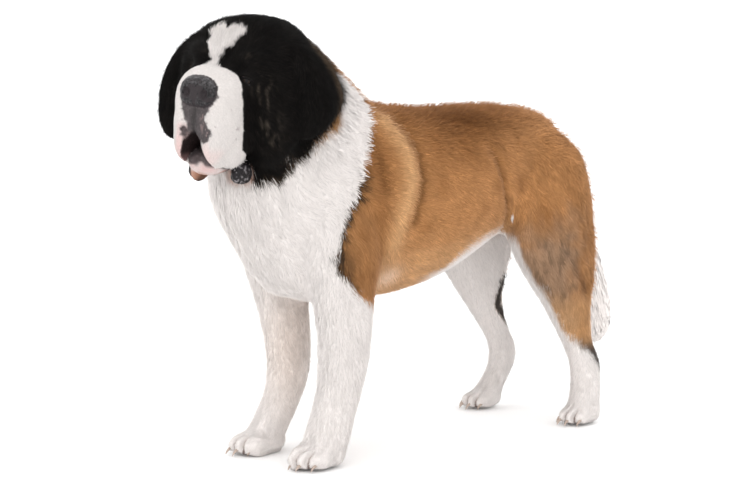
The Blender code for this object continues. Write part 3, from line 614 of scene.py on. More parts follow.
def tan_of(points, normals, behind, leg):
    """The brown coat's shades, with a painted highlight along the shoulder ridge and painted shade in the creases of
    the body's folds.
    """
    local = points - OFFSET
    x, y, z = local.T
    mirrored = np.stack([np.abs(x), y, z], 1)
    tint = TAN * varied(points, 0.070, 0.10, 3) * varied(points, 0.024, 0.09, 4)
    tint = mixed(tint, DEEP_TAN, 0.35 * ease(noise(points, 0.045, 31), 0.15, 0.75))
    top = ease(normals[:, 2], 0.45, 0.95)
    tint = mixed(tint, DEEP_TAN, 0.85 * top)
    saddle = blob(mirrored, (0.110, 0.040, 0.715), (0.080, 0.130, 0.058))
    tint = mixed(tint, DARK_TAN, 0.95 * saddle)
    tint = mixed(tint, DEEP_TAN, 0.60 * blob(mirrored, (0.150, -0.020, 0.660), (0.06, 0.14, 0.075)))
    tint = mixed(tint, DEEP_TAN, 0.45 * blob(mirrored, (0.150, -0.270, 0.660), (0.06, 0.07, 0.10)))
    tint = mixed(tint, TAN * 1.05, 0.7 * ease(y, 0.20, 0.32) * ease(z, 0.5, 0.56))
    tint = mixed(tint, DEEP_TAN, 0.50 * blob(mirrored, (0.170, -0.255, 0.560), (0.04, 0.024, 0.110)))
    # Painted highlight along the shoulder ridge; painted shade in the groove, behind the ridge and in the flank and
    # thigh creases
    tint = mixed(tint, PALE_TAN, 0.85 * line_of(mirrored, RIDGE, 0.021, 0.35))
    tint = mixed(tint, DARK_TAN, 0.65 * line_of(mirrored, GROOVE, 0.014, 0.35))
    tint = mixed(tint, DARK_TAN, 0.60 * line_of(mirrored, BEHIND_RIDGE, 0.011, 0.35))
    tint = mixed(tint, DARK_TAN, (0.55 + 0.35 * ease(-z, -0.58, -0.53)) * line_of(mirrored, FLANK, 0.008, 0.35))
    tint = mixed(tint, DARK_TAN, 0.85 * line_of(mirrored, THIGH, 0.012, 0.35))
    low_shoulder = ease(-y, 0.16, 0.24) * ease(-z, -0.50, -0.40)
    tint = mixed(tint, DARK_TAN * 1.6, 0.22 * low_shoulder)
    shaken = 0.025 * noise(points, 0.020, 47)
    fore_thigh = ease(y, 0.13, 0.18) * ease(-y + shaken, -0.38, -0.27) * ease(-z + 0.4 * y + shaken, -0.43, -0.30)
    streaks = ease(noise(points * np.array([1, 1, 0.4]), 0.008, 32), -0.1, 0.7)
    tint = mixed(tint, ASH_TAN, 0.90 * fore_thigh)
    tint = mixed(tint, SOOT * 2, 0.50 * fore_thigh * streaks)
    tint = mixed(tint, PALE_TAN, 0.5 * ease(-z, -0.33, -0.27) * leg)
    under = ease(-normals[:, 2], 0.10, 0.62) * ease(-z, -0.55, -0.42) * (1 - leg)
    tint = mixed(tint, PALE_TAN, 0.55 * under)
    tint = mixed(tint, PEACH, 0.85 * blob(mirrored, (0.128, -0.200, 0.378), (0.04, 0.030, 0.026)))
    ragged = behind + 0.010 * noise(points, 0.012, 13)
    fringe = ease(-ragged, -0.026, -0.006) * ease(z, 0.34, 0.40) * ease(-z, -0.64, -0.57)
    tint = mixed(tint, SOOT * 0.8, 0.95 * fringe)
    tint = mixed(tint, SOOT, 0.6 * blob(mirrored, (0.179, -0.355, 0.410), (0.03, 0.022, 0.045)))
    return mixed(tint, GREY, ease(-z, -0.215, -0.160) * leg)


def body_colours(points, normals, loose):
    """White, tan and soot of the body at each point."""
    local = points - OFFSET
    x, y, z = local.T
    wobble = 0.007 * noise(points, 0.030, 1) + 0.005 * noise(points, 0.011, 2) + loose
    edge = np.interp(z, COLLAR_Z, COLLAR_Y)
    behind = y - edge + wobble
    brown = ease(behind, -0.004, 0.004)
    above = z - np.interp(y, LOW_Y, LOW_Z) + wobble
    soft = 0.010 + 0.014 * ease(y, -0.10, -0.02) * ease(-y, -0.17, -0.13)
    brown = brown * ease(above / soft, -1, 1)
    outward = normals[:, 0] * np.sign(x)
    leg = ease(y, 0.08, 0.14) * ease(-z, -0.47, -0.42)
    shown = np.maximum(ease(outward, -0.05, 0.35), ease(normals[:, 1], 0.55, 0.80) * ease(z, 0.22, 0.27))
    shown = np.where(x < 0, shown * ease(normals[:, 1], -0.45, -0.25), shown)
    brown = brown * (1 - leg * (1 - shown))
    belly = ease(-normals[:, 2], 0.66, 0.92) * ease(-z, -0.50, -0.44) * ease(y + 0.4 * np.abs(x), -0.06, 0.02)
    brown = brown * (1 - belly)
    tint = tan_of(points, normals, behind, leg)
    seen = np.stack([x * 0, 0.651 * x + 0.759 * y, z], 1)
    stripe = line_of(seen + wobble[:, None] * 0.3, STRIPE, 0.009)
    stripe = ease(stripe, 0.25, 0.60) * ease(-x, 0.0, 0.01) * ease(y, 0.25, 0.30)
    tint = mixed(tint, GREY * 0.8, stripe)
    brown = np.maximum(brown, stripe)
    white = WHITE * varied(points, 0.020, 0.02, 5)
    warm = blob(local, (-0.070, -0.320, 0.230), (0.06, 0.06, 0.16))
    white = mixed(white, PEACH * 1.05, 0.30 * warm)
    out = mixed(white, tint, brown)
    spot = blob(seen, (0, 0.2184, 0.493), (1, 0.0040, 0.0110)) * ease(x, 0.02, 0.04) * ease(outward, 0.1, 0.3)
    out = mixed(out, WHITE, 0.9 * ease(spot + 14 * wobble, 0.40, 0.60))
    return collar_colours(points, out, wobble)


def collar_colours(points, out, wobble):
    """Black of the cheeks, gold under the ears and rust under the chin, on the neck."""
    head = inside(points, HEAD)
    f, l, u = head.T
    side = np.abs(l)
    near = ease(f, -0.20, -0.16)
    edge = np.interp(side, CHEEK_L, CHEEK_U)
    over = u - edge + 1.3 * wobble
    gold = ease(over, -0.012, 0.004) * ease(-f, 0.050, 0.075) * near * ease(0.150 + f, 0.0, 0.02)
    out = mixed(out, GOLD, gold)
    aside = ease(side + 0.4 * np.minimum(0.04 - f, 0) + wobble, 0.026, 0.040)
    aside = aside * (1 - ease(-l, -0.010, 0.010) * ease(f, -0.050, -0.020))
    black = ease(over, -0.005, 0.007) * ease(f + 0.125 + 0.9 * (u + 0.06), 0.0, 0.02) * near * aside
    out = mixed(out, SOOT, ease(over, -0.014, -0.002) * ease(f, -0.085, -0.065) * aside)
    out = mixed(out, BLACK, black)
    nape = ease(u, 0.03, 0.06) * ease(f, -0.24, -0.17) * ease(-side, -0.15, -0.11)
    out = mixed(out, SOOT, np.maximum(nape, 0.9 * ease(u, -0.02, 0.02) * ease(f, -0.155, -0.135)))
    rust = blob(head, (0.040, 0.010, -0.160), (0.080, 0.055, 0.026))
    return mixed(out, RUST, 0.8 * ease(rust + 4 * wobble, 0.30, 0.75) * ease(-side, -0.042, -0.024) * ease(-l, -0.036, -0.026))


def head_colours(points, normals, loose):
    """Black, white, tan and rust of the head at each point, with painted sheen on the cheek fold and a painted
    highlight on the brow ridge.
    """
    face = inside(points, FACE)
    f, l, u = face.T
    side = np.abs(l)
    wobble = 0.0030 * noise(points, 0.016, 6) + 0.0018 * noise(points, 0.006, 7) + 0.3 * loose
    muzzle = ease(f - np.interp(u, MUZZLE_UP, MUZZLE_AT) + wobble, -0.0015, 0.0025)
    place = u - 0.35 * f
    low = np.interp(place, BLAZE_PLACE, BLAZE_LOW)
    high = np.interp(place, BLAZE_PLACE, BLAZE_HIGH)
    shaky = wobble + 0.004 * noise(points, 0.009, 14)
    blaze = ease(l - low + shaky, -0.002, 0.003) * ease(high - l + shaky, -0.002, 0.003)
    blaze = blaze * ease(0.130 - place + shaky, -0.002, 0.003) * ease(f, -0.01, 0.0)
    notch = blob(np.stack([place, l, l * 0], 1), (0.134, -0.030, 0), (0.016, 0.008, 1))
    blaze = blaze * (1 - ease(notch, 0.3, 0.5))
    dark = BLACK * varied(points, 0.02, 0.3, 8)
    mirrored = np.stack([f, side, u], 1)
    streaked = ease(noise(points * np.array([1, 1, 0.3]), 0.007, 33), -0.1, 0.8)
    # Painted sheen along the cheek's fold, partly the black hair's smoky tint, and a painted highlight on the brow
    # ridge
    streak = line_of(mirrored, ((0.068, 0.084, 0.032), (0.073, 0.105, -0.015), (0.050, 0.112, -0.07)), 0.022)
    dark = mixed(dark, SMOKE_AND_SHEEN, 0.80 * streak * streaked)
    dark = mixed(dark, SMOKE_AND_SHEEN, 0.55 * streaked * blob(mirrored, (0.074, 0.050, 0.085), (0.012, 0.014, 0.008)))
    rear = ease(-f, 0.075, 0.125) * ease(u, -0.04, 0.04)
    dark = mixed(dark, SOOT * 1.2, 0.75 * rear)
    light = WHITE * 0.82 * varied(points, 0.012, 0.02, 9)
    spots = ease(noise(points, 0.0065, 10), 0.76, 0.88) * ease(u, -0.100, -0.07) * ease(-u, 0.0, 0.03) * muzzle
    light = mixed(light, np.array((0.38, 0.31, 0.31)), 0.7 * spots)
    light = mixed(light, PINK * 1.20, 0.30 * ease(-u, 0.090, 0.115) * ease(f, 0.125, 0.145))
    out = mixed(dark, light, np.maximum(muzzle, blaze))
    return lip_colours(points, out, normals)


def lip_colours(points, out, normals):
    """Dark pigment round the nose and on the lips, pink edges, and painted shade in the mouth's gap."""
    face = inside(points, FACE)
    f, l, u = face.T
    ragged = 0.0028 * noise(points, 0.008, 15) + 0.0020 * noise(points, 0.0035, 16) + 0.0016 * noise(points, 0.0012, 39)
    low = np.interp(u, PIGMENT_U, PIGMENT_LOW)
    high = np.interp(u, PIGMENT_U, PIGMENT_HIGH)
    there = ease(l - low + ragged, -0.002, 0.003) * ease(high - l + ragged, -0.002, 0.003)
    there = there * ease(u + ragged, -0.094, -0.088) * ease(-u, -0.006, -0.002) * ease(f, 0.135, 0.142)
    shade = mixed(PIGMENT * np.exp(0.75 * noise(points, 0.0026, 17))[:, None], PINK, 0.18 * ease(noise(points, 0.009, 34), 0.2, 0.8))
    shade = mixed(shade, LIP_BLACK * 2, 0.50 * blob(np.stack([l, u], 1), (0, -0.045), (0.010, 0.025)))
    shade = mixed(shade, PINK, 0.55 * ease(noise(points, 0.0032, 48), 0.45, 0.70) * ease(l, 0.012, 0.030))
    shade = mixed(shade, LIP_BLACK, 0.95 * blob(np.stack([l, u], 1), (0, -0.055), (0.0032, 0.036)))
    flew = blob(np.stack([l, u], 1), (-0.022, -0.074), (0.014, 0.013))
    pale_right = ease(-l, 0.010, 0.016) * ease(-u, 0.050, 0.058) * (1 - ease(flew, 0.35, 0.6))
    there = there * (1 - 0.85 * pale_right)
    rosy = ease(-l, 0.008, 0.014) * ease(-u, 0.052, 0.066) * ease(0.040 + l, 0.0, 0.010)
    out = mixed(out, PINK * 1.08, (0.55 + 0.25 * noise(points, 0.012, 37)) * rosy * ease(f, 0.125, 0.140))
    out = mixed(out, shade, 0.93 * there)
    rim = ease(-u, 0.078, 0.092) * ease(-np.abs(np.abs(l) - 0.031), -0.010, -0.004) * ease(f, 0.135, 0.148)
    out = mixed(out, PINK * 1.15, 0.22 * rim * (1 - there))
    # Painted shade: the mouth's inner walls turn near-black towards the middle of the gap
    facing_mid = -normals @ np.array(FACE.to_3x3())[:, 1] * np.sign(l)
    within = ease(facing_mid, 0.35, 0.65) * ease(-u, 0.068, 0.080) * ease(-np.abs(l), -0.044, -0.036)
    within = np.maximum(within, ease(-f, -0.142, -0.128) * ease(-np.abs(l), -0.030, -0.024) * ease(-u, 0.066, 0.074))
    wall = mixed(MOUTH_SHADE * np.ones((len(points), 1)), MOUTH_WALL, ease(np.abs(l), 0.026, 0.036))
    return mixed(out, wall, within)


def ear_colours(points, normals, loose):
    """Black of the ears with a brown fringe behind."""
    inner = inside(points, HEAD)
    dark = BLACK * varied(points, 0.02, 0.3, 11)
    fringe = ease(-inner[:, 0] + 0.25 * inner[:, 2] + 0.010 * noise(points, 0.012, 35), 0.075, 0.125)
    return mixed(dark, SOOT * 1.4, 0.85 * fringe)


def jaw_colours(points, normals, loose):
    """Dark lips with painted glints, and a pale chin stained with rust."""
    face = inside(points, FACE)
    f, l, u = face.T
    dark = LIP_BLACK * varied(points, 0.006, 0.5, 18)
    # Painted glints: pale specks stand in for highlights on the wet lobes and lips
    dark = mixed(dark, GLINT, 0.8 * ease(noise(points, 0.0045, 46), 0.42, 0.62))
    chin = ease(f, 0.066, 0.086) * ease(0.040 - np.abs(l), 0.0, 0.006)
    pale = mixed(WHITE * 0.82 * np.ones((len(points), 1)), PINK, 0.55 + 0.35 * noise(points, 0.012, 19))
    mottled = PIGMENT * 0.8 * varied(points, 0.004, 0.6, 36)
    pale = mixed(pale, mottled, 0.93 * ease(u + 0.006 * noise(points, 0.01, 20), -0.142, -0.134))
    pale = mixed(pale, RUST, 0.8 * ease(-f, -0.100, -0.084) * ease(-u, 0.140, 0.150))
    pale = mixed(pale, RUST, 0.75 * ease(-u + 0.004 * noise(points, 0.01, 38), 0.152, 0.160))
    out = mixed(dark, pale, chin)
    middle = ease(0.030 - np.abs(l), 0.0, 0.008) * ease(-f, -0.090, -0.075)
    out = mixed(out, RUST * 0.9, 0.85 * middle)
    inner_side = ease(l + 0.030, -0.004, 0.004) * ease(-l, 0.0, 0.01) * ease(-f, -0.085, -0.070)
    return mixed(out, RUST * 0.25, 0.8 * inner_side)


def wet_parts(points, names):
    """Where the skin is bare and moist: the lobes of the lower lip, the inside of the mouth and the nose's seat."""
    face = inside(points, FACE)
    f, l, u = face.T
    names = np.asarray(names)
    lobes = ease(np.abs(l), 0.036, 0.042) * ease(-u, 0.118, 0.126) * ease(-np.abs(f - 0.06), -0.045, -0.038)
    lobes = np.where(l < 0, ease(-l, 0.030, 0.036) * ease(-u, 0.118, 0.126), lobes)
    lip = 0.8 * ease(u, -0.142, -0.134) * ease(f, 0.08, 0.10)
    out = np.where(names == "lower_jaw", np.maximum(lobes, lip), 0.0)
    return np.where(names == "nose", 1.0, out)


def coat_colours(points, normals, names, loose=0.0):
    """The coat's own colour at each point, from its node and its place."""
    names = np.asarray(names)
    out = body_colours(points, normals, loose)
    out[names == "nose"] = PIGMENT * 0.6
    ways = {"head": head_colours, "muzzle": head_colours, "lower_jaw": jaw_colours}
    ways["ear_left"] = ways["ear_right"] = ear_colours
    for name, way in ways.items():
        here = names == name
        if here.any():
            out[here] = way(points[here], normals[here], loose[here] if np.ndim(loose) else loose)
    tail = names == "tail"
    if tail.any():
        high = ease(points[tail][:, 2] - OFFSET[2] + 0.02 * noise(points[tail], 0.03, 12), 0.600, 0.640)
        light = WHITE * varied(points[tail], 0.02, 0.02, 5)
        out[tail] = mixed(light, TAN * np.ones((int(tail.sum()), 1)), high)
    return np.clip(out, 0.002, 0.95)


def colour_layer(mesh, colours):
    layer = mesh.color_attributes.new("coat_colour", "FLOAT_COLOR", "POINT")
    flat = np.ones((len(colours), 4), np.float32)
    flat[:, :3] = colours
    layer.data.foreach_set("color", flat.ravel())


def mesh_of(name, points, faces_flat, starts, totals):
    """A mesh built from arrays."""
    mesh = bpy.data.meshes.new(name)
    mesh.vertices.add(len(points))
    mesh.vertices.foreach_set("co", points.astype(np.float32).ravel())
    mesh.loops.add(len(faces_flat))
    mesh.loops.foreach_set("vertex_index", faces_flat.astype(np.int32))
    mesh.polygons.add(len(starts))
    mesh.polygons.foreach_set("loop_start", starts.astype(np.int32))
    mesh.polygons.foreach_set("loop_total", totals.astype(np.int32))
    mesh.polygons.foreach_set("use_smooth", np.ones(len(starts), bool))
    mesh.update(calc_edges=True)
    return mesh


def triangle_mesh(name, points, triangles):
    count = len(triangles)
    return mesh_of(name, points, triangles.ravel(), np.arange(count) * 3, np.full(count, 3))


def unwrapped(points, triangles):
    """A flat layout of a patch of skin: two coordinates for each corner of each triangle."""
    used, compact = np.unique(triangles, return_inverse=True)
    mesh = triangle_mesh("layout", points[used], compact.reshape(-1, 3))
    thing = bpy.data.objects.new("layout", mesh)
    bpy.context.scene.collection.objects.link(thing)
    only(thing)
    bpy.ops.object.mode_set(mode="EDIT")
    bpy.ops.mesh.select_all(action="SELECT")
    bpy.ops.uv.smart_project(angle_limit=math.radians(75), island_margin=0.004)
    bpy.ops.object.mode_set(mode="OBJECT")
    flat = np.empty(len(mesh.loops) * 2, np.float32)
    mesh.uv_layers[0].data.foreach_get("uv", flat)
    bpy.data.objects.remove(thing)
    bpy.data.meshes.remove(mesh)
    return flat.reshape(-1, 3, 2)


class Hide:
    """The dog's surface with what the coat needs to know at each of its points."""

    def __init__(self, skin):
        self.points = points_of(skin.data)
        self.triangles = triangles_of(skin.data)
        self.edges = edges_of(skin.data)
        self.normals = vertex_normals(self.points, self.triangles)
        self.names = np.array(nearest_nodes(self.points))
        keys = [coat_key(n) for n in self.names]
        table = np.array([COAT[k] for k in keys])
        self.key = np.array(keys)
        face = inside(self.points, FACE)
        self.wet = wet_parts(self.points, self.names)
        self.concave = spread(self.hollow(), self.edges, 3)[:, 0]
        eye = np.minimum(
            np.linalg.norm(self.points - np.array(EYES[1]), axis=1),
            np.linalg.norm(self.points - np.array(EYES[-1]), axis=1),
        )
        shrink = (0.35 + 0.65 * ease(eye, 0.018, 0.040)) * (1 - 0.65 * ease(self.concave, 0.0002, 0.0009))
        local = self.points - OFFSET
        head = inside(self.points, HEAD)
        chest = blob(local, (0.0, -0.480, 0.480), (0.16, 0.12, 0.12))
        rear = ease(local[:, 1], 0.30, 0.38) * ease(local[:, 2], 0.26, 0.36)
        nape = ease(-head[:, 0], 0.00, 0.06) * ease(local[:, 2], 0.62, 0.72) * ease(-local[:, 1], 0.30, 0.36)
        crown = ease(head[:, 2], 0.09, 0.13)
        grow = 1 + 0.25 * chest + 0.30 * rear + 0.35 * nape + 0.25 * crown
        fields = table[:, :4].copy()
        fields[:, 0] *= shrink * grow
        fields[:, 2] *= shrink * (1 + 0.6 * nape + 0.4 * crown)
        self.fields = spread(fields, self.edges, 12)
        lie = along(main_lie(self.points, self.normals, self.names), self.normals)
        self.lie = along(spread(lie, self.edges, 14), self.normals)
        self.eye = eye
        self.long_places = {"ruff": self.ruff_place(local, head), "back": self.back_place(local, rear)}
        on_ear = np.char.startswith(self.names.astype(str), "ear")
        far_from_face = ease(-face[:, 0], -0.075, -0.045) * ease(eye, 0.030, 0.045)
        self.long_places["fuzz"] = np.where(on_ear, 1.0, (self.names == "head") * far_from_face)

    def ruff_place(self, local, head):
        """Where stray hair stands: the crown and back of the head, the ears' back edge, the nape and the collar."""
        f, l, u = head.T
        x, y, z = local.T
        on_ear = np.char.startswith(self.names.astype(str), "ear")
        on_head = self.names == "head"
        back_of_ear = ease(-f + 0.25 * u, 0.070, 0.110) * on_ear
        crown = np.maximum(ease(-f, 0.015, 0.050), 0.3 * ease(u, 0.100, 0.120)) * ease(u, 0.0, 0.04) * on_head
        nape = ease(z, 0.62, 0.70) * ease(-f, 0.03, 0.08) * (self.names == "neck")
        behind = y - np.interp(z, COLLAR_Z, COLLAR_Y)
        collar = ease(behind, -0.030, -0.012) * ease(-behind, -0.016, -0.004) * ease(z, 0.36, 0.42)
        under_ear = ease(-f, 0.06, 0.09) * ease(-np.abs(u + 0.06), -0.060, -0.035) * (self.names == "neck")
        place = np.maximum.reduce([back_of_ear, crown, 0.8 * nape, 0.8 * collar, 0.7 * under_ear])
        return place * ease(f, -0.330, -0.290)

    def back_place(self, local, rear):
        """Where the back's and the thighs' longer hair grows."""
        x, y, z = local.T
        top = ease(self.normals[:, 2], 0.25, 0.60) * ease(z, 0.56, 0.62) * ease(y, -0.30, -0.24)
        return np.maximum(top, rear) * (self.names != "tail")

    def long_fields(self, kind):
        length, width, lift, density = LONG_HAIR[kind]
        small = np.where(np.isin(self.key, ("head", "ear")), 0.60, 1.0)
        small = spread(small, self.edges, 6)[:, 0]
        return np.stack([length * small, width * small, lift * small, density * self.long_places[kind] / small], 1)

    def hollow(self):
        """How far each point lies under the mean of its neighbours."""
        near = spread(self.points, self.edges, 2, 1.0)
        return ((near - self.points) * self.normals).sum(1)


def tuft_colours(root, normal, names):
    """Colour of each tuft: the coat's markings, streaks along the hair and a chance shade of its own."""
    count = len(root)
    colours = coat_colours(root, normal, names, RANDOM.normal(0, 0.004, count))
    colours = with_toe_gap_shade(colours, root)
    bright = colours.mean(1)
    streak = noise(root * np.array([1, 0.8, 0.35]), 0.0065, 41)
    broad = noise(root * np.array([1, 0.8, 0.50]), 0.030, 42)
    chance = RANDOM.normal(0, 1, count).clip(-2.2, 2.2)
    pale = ease(bright, 0.40, 0.60)
    black = ease(-bright, -0.045, -0.015)
    swing = 0.13 * (1 - pale) + 0.035 * pale + 0.35 * black
    shade = np.exp(swing * chance + (0.13 - 0.10 * pale) * streak + (0.10 - 0.07 * pale) * broad)
    return np.clip(colours * shade[:, None], 0.002, 0.95)


def with_toe_gap_shade(colours, points):
    """Painted shade in the gaps between the toes, darkest near the floor."""
    gap, _ = toe_marks(points)
    low = ease(-points[:, 2], -0.046, -0.012)
    return mixed(colours, mixed(TOE_GAP_SHADE, TOE_FLOOR_SHADE, low), (0.45 + 0.50 * low) * ease(gap, 0.25, 0.85))


def coat(hide, name, keys, zone=(), kind=None):
    """Closed tufts as one mesh over the parts of the hide with the given keys, inside the zone."""
    middle = hide.points[hide.triangles].mean(1) - OFFSET
    wanted = np.isin(hide.key[hide.triangles[:, 0]], keys)
    for axis, low, high in zone:
        wanted &= (middle[:, axis] >= low) & (middle[:, axis] < high)
    fields = hide.long_fields(kind) if kind else hide.fields
    wanted &= fields[hide.triangles, 3].mean(1) > 0
    chosen = hide.triangles[wanted]
    a, b, c = (hide.points[chosen[:, k]] for k in range(3))
    area = np.linalg.norm(np.cross(b - a, c - a), axis=1) / 2
    weight = area * fields[chosen, 3].mean(1)
    count = int(weight.sum())
    picks = RANDOM.choice(len(chosen), count, p=weight / weight.sum())
    r1, r2 = RANDOM.random((2, count))
    r1 = np.sqrt(r1)
    share = np.stack([1 - r1, r1 * (1 - r2), r1 * r2], 1)
    layout = unwrapped(hide.points, chosen)
    flat = (layout[picks] * share[:, :, None]).sum(1)
    corner = chosen[picks]
    keep = ((hide.eye[corner] * share).sum(1) > 0.0175) & ((hide.wet[corner] * share).sum(1) < 0.4)
    flat, corner, share = flat[keep], corner[keep], share[keep]
    count = len(corner)

    def read(values):
        if values.ndim == 1:
            return (values[corner] * share).sum(1)
        return (values[corner] * share[:, :, None]).sum(1)

    root = read(hide.points)
    normal = unit(read(hide.normals))
    lie = along(read(hide.lie), normal)
    names = hide.names[corner[:, 0]]
    length, width, depth, _ = read(fields).T
    clump = 0.22 * noise_slope(root, 0.016, 21) + 0.22 * noise_slope(root, 0.045, 22)
    jitter = RANDOM.normal(0, 0.20 if kind else 0.13, (count, 3))
    lie = along(lie + along_raw(clump, normal) + jitter, normal)
    length = length * (0.72 + 0.45 * RANDOM.random(count)) * (1 + 0.12 * noise(root, 0.03, 23))
    depth = depth * (0.80 + 0.75 * RANDOM.random(count)) * (1 + 0.20 * noise(root, 0.022, 24))
    width = width * (0.8 + 0.4 * RANDOM.random(count))
    colours = tuft_colours(root + lie * (length * 0.45)[:, None], normal, names)
    segments = 3 if kind else max(COAT[k][4] for k in keys)
    return tufts(hide, name, root, normal, lie, length, width, depth, colours, flat, segments)


def along_raw(vectors, normals):
    return vectors - normals * (vectors * normals).sum(-1, keepdims=True)


def on_surface(tree, points):
    """The nearest spots of the skin, and the way it faces there."""
    spots = np.empty_like(points)
    facing = np.empty_like(points)
    for k, p in enumerate(points.tolist()):
        spot, normal, _, _ = tree.find_nearest(p)
        spots[k] = spot
        facing[k] = normal
    return spots, facing


def tufts(hide, name, root, normal, lie, length, width, depth, colours, flat, segments):
    """Closed three-sided tufts that leave the skin at a slope and then lie along it."""
    steps = np.linspace(0, 1, segments + 1)
    end, facing_end = on_surface(hide.tree, root + lie * length[:, None])
    keep = (facing_end * normal).sum(1) > 0.35
    every = (root, normal, lie, length, width, depth, colours, flat, end, facing_end)
    root, normal, lie, length, width, depth, colours, flat, end, facing_end = (v[keep] for v in every)
    count = len(root)
    if segments > 1:
        middle, facing = on_surface(hide.tree, root + lie * (length * 0.55)[:, None])
        middle = middle + facing * (depth * 0.80)[:, None]
    else:
        middle = (root + end) / 2
    end = end + facing_end * depth[:, None]
    start = root - normal * (0.25 * width + 0.0004)[:, None]
    bend = 2 * middle - (start + end) / 2
    across = unit(np.cross(lie, normal))
    shape = np.sin(np.pi * (0.24 + 0.60 * steps)) ** 1.2 if segments > 1 else np.ones(2)
    rings = []
    for k in range(segments):
        t = steps[k]
        centre = (1 - t) ** 2 * start + 2 * t * (1 - t) * bend + t * t * end
        half = (width * shape[k] / 2)[:, None]
        up = unit(normal * (1 - t) + facing_end * t)
        rings.append(centre + across * half)
        rings.append(centre + up * half * 0.75)
        rings.append(centre - across * half)
    points = np.stack(rings + [end], 1)
    points[..., 2] = np.maximum(points[..., 2], FLOOR_GAP)
    each = 3 * segments + 1
    faces, totals = [(0, 1, 2)], [3]
    for k in range(segments - 1):
        for m in range(3):
            n = (m + 1) % 3
            faces.append((3 * k + n, 3 * k + m, 3 * k + 3 + m, 3 * k + 3 + n))
            totals.append(4)
    for m in range(3):
        n = (m + 1) % 3
        faces.append((3 * segments - 3 + n, 3 * segments - 3 + m, 3 * segments))
        totals.append(3)
    one = np.array([i for face in faces for i in face])
    totals = np.tile(np.array(totals), count)
    flat_faces = (np.arange(count)[:, None] * each + one).ravel()
    starts = np.concatenate([[0], np.cumsum(totals)[:-1]])
    mesh = mesh_of(name, points.reshape(-1, 3), flat_faces, starts, totals)
    colour_layer(mesh, np.repeat(colours, each, axis=0) * np.tile(1 + 0.10 * (np.arange(each) / each - 0.5), count)[:, None])
    patch = np.array([((k % 3) / 2 - 0.5, k // 3 / segments - 0.5) for k in range(each)]) * 0.003
    spots = np.clip(flat[:, None, :] + patch[None], 0.001, 0.999).reshape(-1, 2)
    layer = mesh.uv_layers.new(name="OFBake")
    layer.data.foreach_set("uv", spots[flat_faces].astype(np.float32).ravel())
    facing_all = unit(normal + facing_end)
    smooth = unit(0.85 * facing_all[:, None] + 0.15 * unit(points - points.mean(1, keepdims=True)))
    mesh.normals_split_custom_set_from_vertices(smooth.reshape(-1, 3).astype(np.float32))
    thing = bpy.data.objects.new(name, mesh)
    bpy.context.scene.collection.objects.link(thing)
    return thing


# Materials


def new_material(name):
    material = bpy.data.materials.new(name)
    material.use_nodes = True
    tree = material.node_tree
    shader = next(n for n in tree.nodes if n.type == "BSDF_PRINCIPLED")
    return material, tree, shader


def socket(tree_group, name, way, kind, default=None):
    item = tree_group.interface.new_socket(name, in_out=way, socket_type=kind)
    if default is not None:
        item.default_value = default
    return item


def strand_group():
    """Colour of fur: the stored colour, varied finely, with the noise as a height and a mask of how bright the colour
    is.
    """
    group = bpy.data.node_groups.new("fur_colour", "ShaderNodeTree")
    socket(group, "Variation", "INPUT", "NodeSocketFloat", 0.2)
    socket(group, "Scale", "INPUT", "NodeSocketFloat", 400.0)
    socket(group, "Color", "OUTPUT", "NodeSocketColor")
    socket(group, "Height", "OUTPUT", "NodeSocketFloat")
    socket(group, "Bright", "OUTPUT", "NodeSocketFloat")
    nodes, links = group.nodes, group.links
    enter = nodes.new("NodeGroupInput")
    leave = nodes.new("NodeGroupOutput")
    stored = nodes.new("ShaderNodeVertexColor")
    stored.layer_name = "coat_colour"
    place = nodes.new("ShaderNodeTexCoord")
    grain = nodes.new("ShaderNodeTexNoise")
    grain.inputs["Detail"].default_value = 3.0
    links.new(place.outputs["Object"], grain.inputs["Vector"])
    links.new(enter.outputs["Scale"], grain.inputs["Scale"])
    centred = nodes.new("ShaderNodeMath")
    centred.operation = "SUBTRACT"
    centred.inputs[1].default_value = 0.5
    links.new(grain.outputs["Fac"], centred.inputs[0])
    scaled = nodes.new("ShaderNodeMath")
    scaled.operation = "MULTIPLY_ADD"
    scaled.inputs[2].default_value = 1.0
    links.new(centred.outputs[0], scaled.inputs[0])
    links.new(enter.outputs["Variation"], scaled.inputs[1])
    tinted = nodes.new("ShaderNodeVectorMath")
    tinted.operation = "SCALE"
    links.new(stored.outputs["Color"], tinted.inputs[0])
    links.new(scaled.outputs[0], tinted.inputs["Scale"])
    links.new(tinted.outputs[0], leave.inputs["Color"])
    links.new(grain.outputs["Fac"], leave.inputs["Height"])
    grey = nodes.new("ShaderNodeRGBToBW")
    links.new(stored.outputs["Color"], grey.inputs["Color"])
    bright = nodes.new("ShaderNodeMapRange")
    bright.inputs["From Min"].default_value = 0.02
    bright.inputs["From Max"].default_value = 0.40
    links.new(grey.outputs["Val"], bright.inputs["Value"])
    links.new(bright.outputs["Result"], leave.inputs["Bright"])
    return group


def use_group(tree, group, **values):
    node = tree.nodes.new("ShaderNodeGroup")
    node.node_tree = group
    for key, value in values.items():
        node.inputs[key].default_value = value
    return node


def scaled_by(tree, output, most, least=0.0):
    """A value that runs from least to most as the output runs from 0 to 1."""
    node = tree.nodes.new("ShaderNodeMath")
    node.operation = "MULTIPLY_ADD"
    node.inputs[1].default_value = most - least
    node.inputs[2].default_value = least
    tree.links.new(output, node.inputs[0])
    return node.outputs[0]


